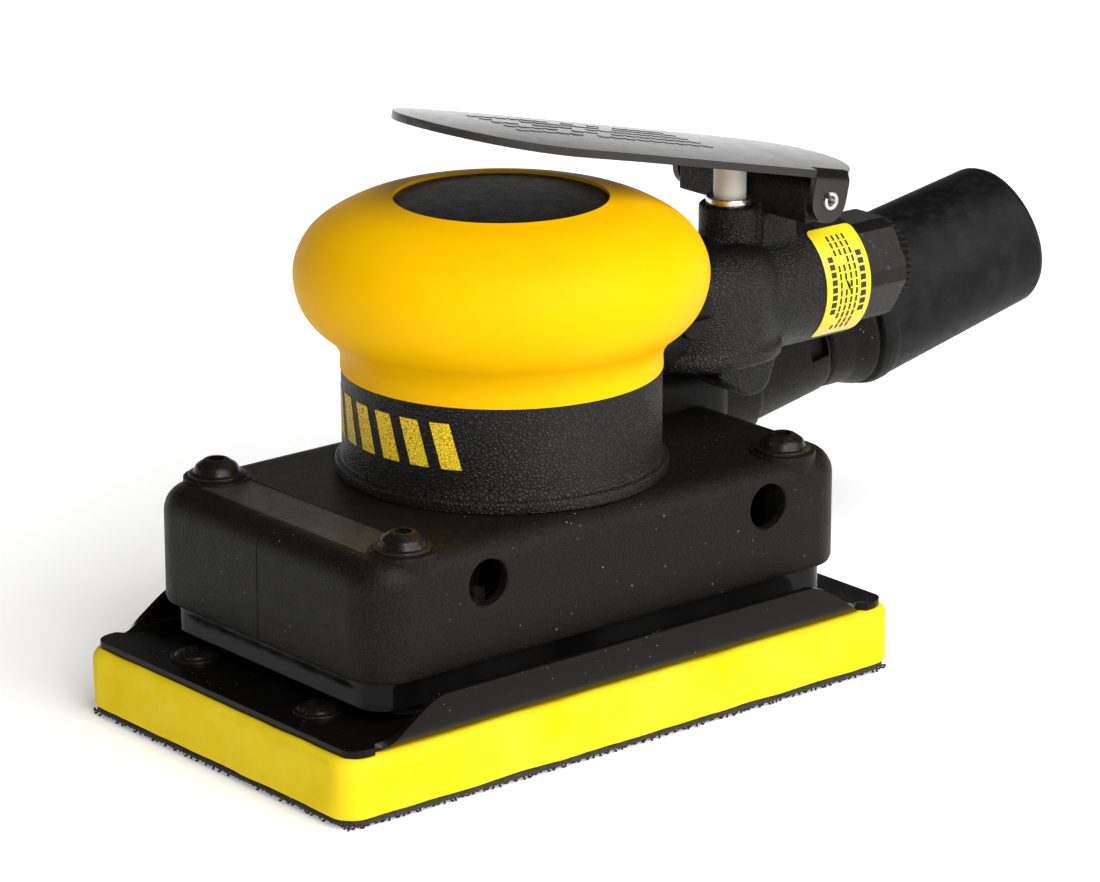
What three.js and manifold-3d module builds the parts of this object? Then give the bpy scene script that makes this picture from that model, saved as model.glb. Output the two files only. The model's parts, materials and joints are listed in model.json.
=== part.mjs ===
// Air-powered orbital palm sander with a rectangular pad, built as it comes apart on a bench.
// Millimetres, +Z up, +X towards the air inlet. The origin is where the motor's axis meets the
// working face of the pad.
import * as THREE from 'three';
import { mergeVertices } from 'three/addons/utils/BufferGeometryUtils.js';
import Module from 'manifold-3d';

const wasm = await Module();
wasm.setup();

// ---------- driving dimensions ----------
const GAP = 0.3;                 // air between two pieces that touch
const RUN = 0.5;                 // air round a piece that turns

const FINE = 32;                 // flats round the large outside curves
const ROUND = 20;                // flats round most turned pieces
const SMALL = 12;                // flats round screws and small holes
const BEND = 4;                  // flats round a rounded corner

const ORBIT_RADIUS = 1.5;        // half of the 3 mm orbit
const ORBIT_ANGLE = 142;         // where the pad stands on its orbit, degrees

const PAD = { length: 133, width: 81, corner: 5, foam: 11.1, hook: 1.7, edge: 1.5 };
const HOOK_INSET = 0.6;
const PLATE = { thickness: 1.4, endInset: 1.9, sideInset: 0.3, chamfer: 4 };
const FLANGE = { height: 6.4, length: 119, ramp: 16 };
const PLATE_SCREW = { x: 56.3, y: 18.6, head: 4.5, headHeight: 1.2, shank: 2, depth: 6 };

const SHROUD = { length: 114.6, width: 68.8, corner: 8.5, top: 45.1, bottom: 22.6, edge: 5, lip: 1.2 };
const SHROUD_WALL = 2.2;
const SKIRT = { wall: 0.8, overlap: 4.4 };
const SHROUD_SCREW = { x: 45.6, y: 27.85, head: 5.3, headHeight: 3, shank: 2.5, length: 15 };
const SEAT = { radius: 6.2, height: 0.3 };
const BLEED_HOLE = { radius: 4.4, z: 37.6, front: -31.3, rear: 36.3 };
const LEG = { foot: 3, top: 4.2, topHeight: 7.7 };

const NECK = { radius: 29.95, height: 19.3, step: 1.3, stepHeight: 2.4 };
const CUP = { radius: 28.2, shoulder: 84, top: 94.4, topRadius: 19.2 };
const SPIGOT = { radius: 26.6, length: 9 };
const LOCK_NUT = { radius: 31, height: 6 };
const GRIP_RADIUS = 38.6;
const CAP_RADIUS = 19.8;
const CAP_EDGE = 1.6;
const CAP_CROWN = 0.7;

const BARREL = { radius: 12.3, z: 67.9, end: 83.4 };
const VALVE_BODY = { x: 48, length: 31, width: 29.4, corner: 13, bottom: 58, top: 79.5, edge: 8 };
const VALVE_RIM = { flare: 1, height: 3.4 };
const VALVE_BOSS = { x: 56.8, radius: 6, top: 86.3, bore: 3.6, floor: 61 };
const VALVE_BUSH = { radius: 4.65, height: 1.1 };
const PLUNGER = { radius: 3.2, length: 22, crown: 0.9 };
const PLUNGER_TRAVEL = 1.2;
const SPRING = { radius: 2.2, wire: 0.4, turns: 6 };
const DIAL = { x: 34.6, z: 70.4, radius: 4.2, face: 15.8, back: 12.6, stem: 2.4, stemLength: 6 };
const AIRWAY = { radius: 5.5, throat: 4 };
const BUSHING = { flats: 20, cornerFlats: 21.5, hexLength: 10.6, thread: 7.2, threadLength: 10, bore: 4.6 };
const PLUG = { radius: 9.2, rim: 2.6, teeth: 20, stem: 4.2, stemLength: 8 };

const PIVOT = { x: 64.2, z: 89.2, pin: 1.6, pinLength: 41.2, pinWall: 0.8, slit: 0.9 };
const LEVER = { width: 40, sheet: 1.5, rise: 6.6, front: 88.5, nose: 26, tail: 13.4, tilt: 12.9 };
const EAR_RADIUS = 4.4;
const LUG = { radius: 4.4, halfWidth: 18.2, neck: 9 };

// The dust outlet leaves the shroud on its own axis: turned a little inwards and rising.
const OUTLET = { x: 103.9, y: 20, z: 51.3, turn: -3.9, rise: 13.1 };
const DUCT = { radius: 13.5, bore: 10.9, start: -46, shoulder: -30, end: -11, collar: 12.4 };
const COWL = { x: 47, y: 12.6, length: 34, width: 17, corner: 6, top: 54, edge: 5, wall: 3 };
const DUST_PORT = { low: 26, high: 41, near: 14, far: 32 };
const SNAP = { start: -16.2, length: 4.4, low: -1.5, high: 3.5 };
const SWIVEL = { bore: 9.3, inside: -27.5, reach: 18, inset: 0.9 };
const ADAPTER = { front: 16, rear: 14.9, length: 44.5, bore: 13, lip: 1.6 };

const ROTOR = { radius: 18.5, height: 24.5, bottom: 57.5, slots: 5, slotWidth: 2.2, slotDepth: 8 };
const VANE_THICKNESS = 1.6;
const LINER = { radius: 24, bore: 20.3, offset: 1.5 };
const UPPER_BEARING = { outer: 11, inner: 4, width: 7 };
const LOWER_BEARING = { outer: 15, inner: 8.5, width: 7 };
const SPINDLE_BEARING = { outer: 13, inner: 6, width: 12 };
const END_PLATE = 1.7;
const SHAFT_RADIUS = 6;
const HEAD = { radius: 17, bottom: 26.5, top: 46.5 };
const WEIGHT = { radius: 27, spread: 160 };
const SPINDLE = { flange: 11, flangeHeight: 3 };
const SPINDLE_SCREW = { head: 7, headHeight: 2.2, shank: 3, length: 12 };

// ---------- levels and places worked out from them ----------
const FOAM_BOTTOM = PAD.hook + GAP;
const FOAM_TOP = FOAM_BOTTOM + PAD.foam;
const PLATE_BOTTOM = FOAM_TOP + GAP;
const PLATE_TOP = PLATE_BOTTOM + PLATE.thickness;
const ON_PLATE = PLATE_TOP + GAP;
const SKIRT_BOTTOM = ON_PLATE + PLATE_SCREW.headHeight + RUN;
const NECK_BOTTOM = SHROUD.top + GAP;
const NECK_TOP = NECK_BOTTOM + NECK.height;
const SHROUD_CEILING = SHROUD.top - SHROUD_WALL;
const MOTOR_BORE = LINER.radius + GAP;
const ROTOR_TOP = ROTOR.bottom + ROTOR.height;
const LINER_BOTTOM = ROTOR.bottom - GAP;
const LINER_TOP = ROTOR_TOP + GAP;
const LOWER_BEARING_TOP = LINER_BOTTOM - GAP - END_PLATE - GAP;
const LOWER_BEARING_BOTTOM = LOWER_BEARING_TOP - LOWER_BEARING.width;
const UPPER_BEARING_BOTTOM = LINER_TOP + GAP + END_PLATE + GAP;
const UPPER_BEARING_TOP = UPPER_BEARING_BOTTOM + UPPER_BEARING.width;
const LOCK_RING_TOP = LOWER_BEARING_BOTTOM - GAP;
const SPINDLE_BEARING_BOTTOM = HEAD.bottom + 1;
const SPINDLE_BEARING_TOP = SPINDLE_BEARING_BOTTOM + SPINDLE_BEARING.width;
const ORBIT = new THREE.Vector3(ORBIT_RADIUS, 0, 0)
  .applyAxisAngle(new THREE.Vector3(0, 0, 1), THREE.MathUtils.degToRad(ORBIT_ANGLE));
const LEVER_TILT = THREE.MathUtils.degToRad(LEVER.tilt);
const CORNERS = [[-1, -1], [1, -1], [1, 1], [-1, 1]];

// ---------- materials ----------
const finish = (color, roughness, metalness = 0) =>
  new THREE.MeshStandardMaterial({ color, roughness, metalness });
const BLACK_COMPOSITE = finish(0x1b1b1c, 0.62);
const BLACK_NYLON = finish(0x222223, 0.5);
const GRIP_RUBBER = finish(0xf2b705, 0.55);
const FOAM = finish(0xf2e81c, 0.7);
const HOOK = finish(0x2b2b2d, 0.95);
const BLACK_ENAMEL = finish(0x111112, 0.25, 0.3);
const BLACK_OXIDE = finish(0x232221, 0.35, 0.8);
const SMOKE = finish(0x4a4a48, 0.15);
const STEEL = finish(0xb9bbbd, 0.3, 1);
const ZINC = finish(0xcfd2d4, 0.25, 1);
const WHITE_NYLON = finish(0xf2efe8, 0.5);
const BLACK_RUBBER = finish(0x161616, 0.85);
const VANE_RESIN = finish(0x6a4a2c, 0.7);
const BRASS = finish(0xb08d4a, 0.35, 1);

// ---------- joining and cutting ----------
function solid(geometry) {
  const bare = geometry.clone();
  bare.deleteAttribute('normal');
  bare.deleteAttribute('uv');
  const merged = mergeVertices(bare, 1e-4);
  const index = merged.index.array;
  const kept = [];
  for (let i = 0; i < index.length; i += 3) {
    const [a, b, c] = [index[i], index[i + 1], index[i + 2]];
    if (a !== b && b !== c && c !== a) kept.push(a, b, c);
  }
  const vertProperties = new Float32Array(merged.attributes.position.array);
  return new wasm.Manifold(new wasm.Mesh({ numProp: 3, vertProperties, triVerts: new Uint32Array(kept) }));
}

function geometryOf(body) {
  const mesh = body.getMesh();
  const geometry = new THREE.BufferGeometry();
  geometry.setAttribute('position', new THREE.BufferAttribute(new Float32Array(mesh.vertProperties), 3));
  geometry.setIndex(new THREE.BufferAttribute(new Uint32Array(mesh.triVerts), 1));
  return geometry;
}

function join(first, ...rest) {
  return geometryOf(rest.reduce((sum, part) => sum.add(solid(part)), solid(first)));
}

function cut(first, ...rest) {
  return geometryOf(rest.reduce((sum, part) => sum.subtract(solid(part)), solid(first)));
}

// ---------- shapes ----------
function cylinder(radius, bottom, top, x = 0, y = 0, sides = ROUND) {
  const shape = new THREE.CylinderGeometry(radius, radius, top - bottom, sides);
  shape.rotateX(Math.PI / 2);
  return shape.translate(x, y, (bottom + top) / 2);
}

function rodX(radius, start, end, y, z, sides = ROUND) {
  return cylinder(radius, start, end, 0, 0, sides).rotateY(Math.PI / 2).translate(0, y, z);
}

function rodY(radius, start, end, x, z, sides = ROUND) {
  return cylinder(radius, start, end, 0, 0, sides).rotateX(-Math.PI / 2).translate(x, 0, z);
}

function block(x0, x1, y0, y1, z0, z1) {
  return new THREE.BoxGeometry(x1 - x0, y1 - y0, z1 - z0)
    .translate((x0 + x1) / 2, (y0 + y1) / 2, (z0 + z1) / 2);
}

// A profile of [radius, height] pairs, listed upwards on its outside, turned about Z.
function turned(profile, sides = ROUND) {
  const points = profile.map(([radius, height]) => new THREE.Vector2(radius, height));
  return new THREE.LatheGeometry(points, sides).rotateX(Math.PI / 2);
}

function ring(inner, outer, bottom, top, sides = ROUND) {
  return turned([[inner, bottom], [outer, bottom], [outer, top], [inner, top], [inner, bottom]], sides);
}

function roundedRectangle(length, width, corner) {
  const [a, b, r] = [length / 2, width / 2, Math.max(corner, 0.2)];
  const shape = new THREE.Shape();
  shape.absarc(a - r, b - r, r, 0, Math.PI / 2);
  shape.absarc(-a + r, b - r, r, Math.PI / 2, Math.PI);
  shape.absarc(-a + r, -b + r, r, Math.PI, 1.5 * Math.PI);
  shape.absarc(a - r, -b + r, r, 1.5 * Math.PI, 2 * Math.PI);
  shape.closePath();
  return shape;
}

function prism(shape, bottom, top, curveSegments = BEND) {
  return new THREE.ExtrudeGeometry(shape, { depth: top - bottom, bevelEnabled: false, curveSegments })
    .translate(0, 0, bottom);
}

// A rounded rectangle stacked up in levels of [height, inset], closed at both ends.
function stacked(length, width, corner, levels, curveSegments = BEND) {
  const outline = (inset) => {
    const shape = roundedRectangle(length - 2 * inset, width - 2 * inset, corner - inset);
    return shape.getPoints(curveSegments).filter((p, i, all) => i === 0
      || (p.distanceTo(all[i - 1]) > 1e-6 && p.distanceTo(all[0]) > 1e-6));
  };
  const rings = levels.map(([, inset]) => outline(inset));
  const count = rings[0].length;
  const positions = rings.flatMap((points, k) => points.flatMap((p) => [p.x, p.y, levels[k][0]]));
  const caps = THREE.ShapeUtils.triangulateShape(rings[0], []);
  const last = (rings.length - 1) * count;
  const index = caps.flatMap(([a, b, c]) => [a, c, b, last + a, last + b, last + c]);
  for (let k = 0; k + 1 < rings.length; k += 1) {
    for (let i = 0; i < count; i += 1) {
      const [a, b] = [k * count + i, k * count + (i + 1) % count];
      index.push(a, b, b + count, a, b + count, a + count);
    }
  }
  const geometry = new THREE.BufferGeometry();
  geometry.setAttribute('position', new THREE.Float32BufferAttribute(positions, 3));
  geometry.setIndex(index);
  return geometry;
}

// Levels of a rounded upper edge, from the side wall in to the flat top.
function roundedTop(top, edge, steps = 3) {
  return Array.from({ length: steps + 1 }, (_, i) => {
    const angle = (i / steps) * Math.PI / 2;
    return [top - edge + edge * Math.sin(angle), edge * (1 - Math.cos(angle))];
  });
}

// Places a shape made along +X from the outlet's mouth on the outlet's own axis.
function onOutlet(geometry) {
  return geometry
    .rotateY(-THREE.MathUtils.degToRad(OUTLET.rise))
    .rotateZ(THREE.MathUtils.degToRad(OUTLET.turn))
    .translate(OUTLET.x, OUTLET.y, OUTLET.z);
}

const outletRod = (radius, start, end, sides = ROUND) => onOutlet(rodX(radius, start, end, 0, 0, sides));

// ---------- pad ----------
function hookFace() {
  const [length, width] = [PAD.length - 2 * HOOK_INSET, PAD.width - 2 * HOOK_INSET];
  return prism(roundedRectangle(length, width, PAD.corner), 0, PAD.hook);
}

function foamPad() {
  const foam = stacked(PAD.length, PAD.width, PAD.corner,
    [[FOAM_BOTTOM, 0], ...roundedTop(FOAM_TOP, PAD.edge, 2)]);
  const wellFloor = PLATE_BOTTOM - GAP - SPINDLE_SCREW.headHeight - 1;
  const screwWell = cylinder(SPINDLE_SCREW.head + RUN, wellFloor, FOAM_TOP + 1);
  const holeFloor = ON_PLATE - PLATE_SCREW.depth - GAP;
  const holes = CORNERS.map(([i, j]) =>
    cylinder(PLATE_SCREW.shank + GAP, holeFloor, FOAM_TOP + 1, i * PLATE_SCREW.x, j * PLATE_SCREW.y, SMALL));
  return cut(foam, screwWell, ...holes);
}

function chamferedRectangle(length, width, chamfer) {
  const [a, b, c] = [length / 2, width / 2, chamfer];
  return new THREE.Shape([
    new THREE.Vector2(a, b - c), new THREE.Vector2(a - c, b), new THREE.Vector2(-a + c, b),
    new THREE.Vector2(-a, b - c), new THREE.Vector2(-a, -b + c), new THREE.Vector2(-a + c, -b),
    new THREE.Vector2(a - c, -b), new THREE.Vector2(a, -b + c),
  ]);
}

// A turned-up side of the plate, seen from its side, with an S-curve down to each end.
function flangeProfile() {
  const half = Math.min(FLANGE.length, PAD.length - 2 * (PLATE.endInset + PLATE.chamfer)) / 2;
  const top = PLATE_TOP + FLANGE.height;
  const shape = new THREE.Shape();
  shape.moveTo(-half, PLATE_BOTTOM);
  shape.lineTo(half, PLATE_BOTTOM);
  shape.lineTo(half, PLATE_TOP);
  const middle = half - FLANGE.ramp / 2;
  shape.bezierCurveTo(middle, PLATE_TOP, middle, top, half - FLANGE.ramp, top);
  shape.lineTo(FLANGE.ramp - half, top);
  shape.bezierCurveTo(-middle, top, -middle, PLATE_TOP, -half, PLATE_TOP);
  return shape;
}

function backingPlate() {
  const length = PAD.length - 2 * PLATE.endInset;
  const width = PAD.width - 2 * PLATE.sideInset;
  const sheet = prism(chamferedRectangle(length, width, PLATE.chamfer), PLATE_BOTTOM, PLATE_TOP);
  const flange = () => prism(flangeProfile(), 0, PLATE.thickness).rotateX(Math.PI / 2);
  const near = flange().translate(0, PLATE.thickness - width / 2, 0);
  const far = flange().translate(0, width / 2, 0);
  const centre = cylinder(SPINDLE_SCREW.shank + GAP, PLATE_BOTTOM - 1, PLATE_TOP + 1);
  const holes = CORNERS.map(([i, j]) => cylinder(PLATE_SCREW.shank + GAP, PLATE_BOTTOM - 1, PLATE_TOP + 1,
    i * PLATE_SCREW.x, j * PLATE_SCREW.y, SMALL));
  return cut(join(sheet, near, far), centre, ...holes);
}

// A domed screw head on its shank, with a six-sided driver recess; z is the seat under the head.
function screw({ head, headHeight, shank, z, length, recess, sides = SMALL }) {
  const body = turned([
    [0, z - length], [shank, z - length], [shank, z], [head, z], [head, z + headHeight * 0.3],
    [head * 0.86, z + headHeight * 0.72], [head * 0.55, z + headHeight], [0, z + headHeight],
  ], sides);
  return cut(body, cylinder(recess, z + headHeight * 0.35, z + headHeight + 1, 0, 0, 6));
}

function plateScrew() {
  const { head, headHeight, shank, depth } = PLATE_SCREW;
  return screw({ head, headHeight, shank, z: ON_PLATE, length: depth, recess: head * 0.42 });
}

function spindle() {
  const { flange, flangeHeight } = SPINDLE;
  const journal = SPINDLE_BEARING.inner - GAP;
  const body = turned([
    [0, ON_PLATE], [flange, ON_PLATE], [flange, ON_PLATE + flangeHeight],
    [journal + 1.5, ON_PLATE + flangeHeight + 1], [journal + 1.5, SPINDLE_BEARING_BOTTOM - GAP],
    [journal, SPINDLE_BEARING_BOTTOM - GAP], [journal, SPINDLE_BEARING_TOP], [0, SPINDLE_BEARING_TOP],
  ]);
  const holeTop = ON_PLATE + SPINDLE_SCREW.length;
  const hole = cylinder(SPINDLE_SCREW.shank + GAP, ON_PLATE - 1, holeTop, 0, 0, SMALL);
  return cut(body, hole);
}

function spindleScrew() {
  const top = PLATE_BOTTOM - GAP;
  const { head, headHeight, shank, length } = SPINDLE_SCREW;
  const body = turned([[0, top - headHeight], [head, top - headHeight], [head, top], [shank, top],
    [shank, top + length], [0, top + length]], SMALL);
  return cut(body, cylinder(head * 0.4, top - headHeight - 1, top - 1, 0, 0, 6));
}

// ---------- shroud ----------
const shroudOutside = (grow = 0) => stacked(
  SHROUD.length + 2 * grow, SHROUD.width + 2 * grow, SHROUD.corner + grow,
  [[SHROUD.bottom - grow, SHROUD.lip], [SHROUD.bottom + SHROUD.lip - grow, 0],
    ...roundedTop(SHROUD.top + grow, SHROUD.edge)]);

function dustShroud() {
  const inside = prism(roundedRectangle(SHROUD.length - 2 * SHROUD_WALL, SHROUD.width - 2 * SHROUD_WALL,
    SHROUD.corner - SHROUD_WALL), SHROUD.bottom - 1, SHROUD_CEILING);
  const seats = CORNERS.map(([i, j]) => cylinder(Math.min(SEAT.radius, SHROUD.width / 2 - SHROUD_SCREW.y),
    SHROUD_CEILING - LEG.topHeight / 2, SHROUD.top + SEAT.height, i * SHROUD_SCREW.x, j * SHROUD_SCREW.y));
  const holes = CORNERS.map(([i, j]) => cylinder(SHROUD_SCREW.shank + GAP, SHROUD.bottom, SHROUD.top + 1,
    i * SHROUD_SCREW.x, j * SHROUD_SCREW.y, SMALL));
  const bleeds = [BLEED_HOLE.front, BLEED_HOLE.rear].map((x) =>
    rodY(BLEED_HOLE.radius, -SHROUD.width, SHROUD.width, x, BLEED_HOLE.z, 20));
  const spigotHole = cylinder(SPIGOT.radius + GAP, SHROUD_CEILING - 1, SHROUD.top + 1, 0, 0, FINE);
  const rear = SHROUD.length / 2;
  const { near, far, low, high } = DUST_PORT;
  const port = block(rear - 2 * SHROUD_WALL, rear + 1, near, far, low, high);
  return cut(join(cut(shroudOutside(), inside), ...seats), ...holes, ...bleeds, spigotHole, port);
}

function skirt() {
  const length = SHROUD.length - 2 * (SHROUD_WALL + GAP);
  const width = SHROUD.width - 2 * (SHROUD_WALL + GAP);
  const corner = SHROUD.corner - SHROUD_WALL - GAP;
  const top = SHROUD.bottom + SKIRT.overlap;
  const outer = prism(roundedRectangle(length, width, corner), SKIRT_BOTTOM, top);
  const inner = prism(roundedRectangle(length - 2 * SKIRT.wall, width - 2 * SKIRT.wall, corner - SKIRT.wall),
    SKIRT_BOTTOM - 1, top + 1);
  return cut(outer, inner);
}

function shroudScrew() {
  const { head, headHeight, shank, length } = SHROUD_SCREW;
  const z = SHROUD.top + SEAT.height + GAP;
  return screw({ head, headHeight, shank, z, length, recess: head * 0.32, sides: 16 });
}

const LEG_TOP = SHROUD_CEILING - LEG.topHeight / 2 - GAP;

function flexibleLeg() {
  const waist = SHROUD.bottom + SKIRT.overlap + 1;
  const body = turned([
    [0, ON_PLATE], [LEG.foot, ON_PLATE], [LEG.foot * 0.8, ON_PLATE + 3], [LEG.foot * 0.8, waist - 2],
    [LEG.foot, waist], [LEG.top, waist + 2], [LEG.top, LEG_TOP], [0, LEG_TOP],
  ], SMALL);
  const screwEnd = SHROUD.top + SEAT.height + GAP - SHROUD_SCREW.length;
  return cut(body, cylinder(SHROUD_SCREW.shank + GAP, screwEnd - GAP, LEG_TOP + 1, 0, 0, SMALL));
}

// ---------- body casting ----------
function valveBodyOutside(grow = 0) {
  const { x, length, width, corner, bottom, top, edge } = VALVE_BODY;
  const { flare, height } = VALVE_RIM;
  const [low, wide] = [bottom - grow, flare + grow];
  const body = stacked(length + 2 * grow, width + 2 * grow, corner + grow,
    [[low, 0], ...roundedTop(top + grow, edge)]);
  const rim = stacked(length + 2 * wide, width + 2 * wide, corner + wide,
    [[low, 0.6], [low + 0.6, 0], [bottom + height - 1, 0], [bottom + height + grow, flare]]);
  return join(body, rim).translate(x, 0, 0);
}

// The round-bottomed lug under the valve body that steadies the dust duct.
function ductLug() {
  const [left, right] = [VALVE_BODY.x - 0.6, VALVE_BODY.x + 14.4];
  const shape = new THREE.Shape();
  shape.moveTo(left, VALVE_BODY.bottom + 2);
  shape.lineTo(left, VALVE_BODY.bottom - 4);
  shape.lineTo(left + 7.4, VALVE_BODY.bottom - 8.8);
  shape.quadraticCurveTo(right - 1.4, VALVE_BODY.bottom - 10, right, VALVE_BODY.bottom - 2);
  shape.lineTo(right, VALVE_BODY.bottom + 2);
  return prism(shape, 0, 11).rotateX(Math.PI / 2).translate(0, 3, 0);
}

function leverLug() {
  const bar = rodY(LUG.radius, -LUG.halfWidth, LUG.halfWidth, PIVOT.x, PIVOT.z, 16);
  const web = block(PIVOT.x - LUG.radius, PIVOT.x + LUG.radius, -LUG.halfWidth, LUG.halfWidth,
    PIVOT.z - LUG.radius, PIVOT.z);
  const foot = block(PIVOT.x - LUG.radius, PIVOT.x + LUG.radius, -LUG.neck, LUG.neck, BARREL.z, PIVOT.z - 1);
  return join(bar, web, foot);
}

function bodyCasting() {
  const { radius, step, stepHeight } = NECK;
  const stepRadius = radius + step;
  const spigotEnd = NECK_BOTTOM - SPIGOT.length;
  const shell = turned([
    [0, spigotEnd], [SPIGOT.radius, spigotEnd], [SPIGOT.radius, NECK_BOTTOM],
    [stepRadius, NECK_BOTTOM], [stepRadius, NECK_BOTTOM + stepHeight - 0.5],
    [stepRadius - 0.5, NECK_BOTTOM + stepHeight], [radius, NECK_BOTTOM + stepHeight + 0.2],
    [radius, NECK_TOP], [CUP.radius, NECK_TOP], [CUP.radius, CUP.shoulder],
    [CUP.topRadius + 0.6 * (CUP.radius - CUP.topRadius), CUP.shoulder + 0.67 * (CUP.top - CUP.shoulder)],
    [CUP.topRadius, CUP.top], [0, CUP.top],
  ], FINE);
  const barrel = rodX(BARREL.radius, CUP.radius - 5, BARREL.end, 0, BARREL.z, FINE - 4);
  const boss = cylinder(VALVE_BOSS.radius, BARREL.z, VALVE_BOSS.top, VALVE_BOSS.x, 0);
  const outside = join(shell, barrel, valveBodyOutside(), boss, ductLug(), leverLug());
  const motorBore = turned([
    [0, spigotEnd - 1], [MOTOR_BORE, spigotEnd - 1],
    [MOTOR_BORE, UPPER_BEARING_BOTTOM], [UPPER_BEARING.outer + 3, UPPER_BEARING_TOP + GAP],
    [0, UPPER_BEARING_TOP + GAP]]);
  const inletDepth = BARREL.end - BUSHING.threadLength - 1;
  const inlet = rodX(BUSHING.thread + GAP, inletDepth, BARREL.end + 1, 0, BARREL.z);
  const airway = rodX(AIRWAY.radius, VALVE_BOSS.x - 6, BARREL.end, 0, BARREL.z, SMALL);
  const throat = rodX(AIRWAY.throat, LINER.radius - 4, VALVE_BOSS.x, 0, BARREL.z, SMALL);
  const exhaust = block(LINER.radius - 4, NECK.radius + 3, COWL.y - 4, COWL.y + 4,
    LOWER_BEARING_BOTTOM + 1, LOWER_BEARING_BOTTOM + 5);
  const valveBore = cylinder(VALVE_BOSS.bore, VALVE_BOSS.floor, PIVOT.z + 10, VALVE_BOSS.x, 0, 16);
  const bushSeat = cylinder(VALVE_BUSH.radius + GAP, VALVE_BOSS.top, PIVOT.z + 10, VALVE_BOSS.x, 0, 16);
  const pinHole = rodY(PIVOT.pin + GAP, -LUG.halfWidth - 1, LUG.halfWidth + 1, PIVOT.x, PIVOT.z, SMALL);
  const dialPocket = rodY(DIAL.radius + RUN, -DIAL.face - 5, -DIAL.back + GAP, DIAL.x, DIAL.z, 16);
  const stemEnd = DIAL.stemLength - DIAL.back + GAP;
  const dialBore = rodY(DIAL.stem + GAP, -DIAL.back - 1, stemEnd, DIAL.x, DIAL.z, SMALL);
  return cut(outside, motorBore, exhaust, inlet, airway, throat, valveBore, bushSeat, pinHole,
    dialPocket, dialBore);
}

function lockNut() {
  const top = SHROUD_CEILING - GAP;
  return ring(SPIGOT.radius + GAP, LOCK_NUT.radius, top - LOCK_NUT.height, top, FINE);
}

function palmGrip() {
  const inner = CUP.radius + GAP;
  const opening = CAP_RADIUS + GAP;
  const bottom = NECK_TOP + GAP;
  const profile = new THREE.CatmullRomCurve3([
    [30.1, bottom], [30.2, bottom + 3], [32, 71], [35.2, 73.8], [37.5, 77.2], [GRIP_RADIUS, 81.8],
    [38, 86], [35.7, 90], [31.8, 93], [26.5, 95.4], [opening, 96.8],
  ].map(([radius, height]) => new THREE.Vector3(radius, height, 0))).getPoints(12);
  const midRadius = CUP.topRadius + 0.6 * (CUP.radius - CUP.topRadius);
  const shell = turned([
    ...profile.map((p) => [p.x, p.y]), [opening, CUP.top - 0.5],
    [midRadius + GAP * 1.5, CUP.shoulder + 0.67 * (CUP.top - CUP.shoulder) + GAP],
    [inner, CUP.shoulder], [inner, bottom], [profile[0].x, bottom],
  ], FINE);
  const dialClearance = rodY(DIAL.radius + RUN, -DIAL.face - 9, -DIAL.back, DIAL.x, DIAL.z, 16);
  const barrel = rodX(BARREL.radius + GAP, CUP.radius - 5, BARREL.end, 0, BARREL.z, FINE - 4);
  return cut(shell, barrel, valveBodyOutside(GAP), dialClearance);
}

function topCap() {
  const bottom = CUP.top + GAP;
  return turned([
    [0, bottom], [CAP_RADIUS - 0.4, bottom], [CAP_RADIUS, bottom + 0.4], [CAP_RADIUS, bottom + CAP_EDGE],
    [CAP_RADIUS * 0.7, bottom + CAP_EDGE + CAP_CROWN * 0.6], [0, bottom + CAP_EDGE + CAP_CROWN],
  ], FINE);
}

// ---------- dust outlet ----------
const DUCT_MOUTH = OUTLET.x + DUCT.start * Math.cos(THREE.MathUtils.degToRad(OUTLET.rise)) + 4;

function exhaustDuct() {
  const pipe = outletRod(DUCT.radius, DUCT.start, DUCT.shoulder);
  const collar = outletRod(DUCT.collar, DUCT.shoulder - 1, DUCT.end);
  const cowl = stacked(COWL.length, COWL.width, COWL.corner,
    [[SHROUD.top - 4, 0], ...roundedTop(COWL.top, COWL.edge)]).translate(COWL.x, COWL.y, 0);
  const bore = outletRod(DUCT.bore, DUCT.start - 5, DUCT.end + 1);
  const passage = block(NECK.radius - 5, DUCT_MOUTH, COWL.y - COWL.width / 2 + COWL.wall,
    COWL.y + COWL.width / 2 - COWL.wall, SHROUD.top + 1, COWL.top - COWL.wall);
  const neck = cylinder(NECK.radius + NECK.step + GAP, SHROUD.top - 9, VALVE_BODY.bottom + 9, 0, 0, FINE);
  const snap = onOutlet(block(SNAP.start, SNAP.start + SNAP.length, -DUCT.collar - 1, -DUCT.bore + 1,
    SNAP.low, SNAP.high));
  const roof = block(0, COWL.x + COWL.length, -5, 50, VALVE_BODY.bottom - GAP, BARREL.z);
  const shroud = shroudOutside(GAP);
  return cut(join(pipe, collar, cowl), bore, passage, neck, snap, shroud, roof);
}

function swivelTube() {
  const inside = DUCT.bore - GAP;
  const shoulder = DUCT.end + GAP;
  const outside = inside + 1;
  const flare = ADAPTER.front - SWIVEL.inset;
  return onOutlet(turned([
    [SWIVEL.bore, SWIVEL.inside], [inside, SWIVEL.inside], [inside, shoulder], [outside, shoulder],
    [outside + 0.5, shoulder + 0.6], [flare, -1.4], [flare, -GAP], [outside, -GAP],
    [outside, SWIVEL.reach], [SWIVEL.bore, SWIVEL.reach], [SWIVEL.bore, SWIVEL.inside],
  ]).rotateY(Math.PI / 2));
}

function hoseAdapter() {
  const inner = DUCT.bore + 1;
  const { front, rear, length, bore, lip } = ADAPTER;
  return onOutlet(turned([
    [inner, 0], [front - lip, 0], [front - 0.4, lip * 0.4], [front, lip], [rear, length - 1.2],
    [rear - 0.8, length], [bore + 0.4, length], [bore, length - 1], [bore, SWIVEL.reach + 2],
    [inner, SWIVEL.reach + 1], [inner, 0],
  ], 32).rotateY(Math.PI / 2));
}

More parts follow.
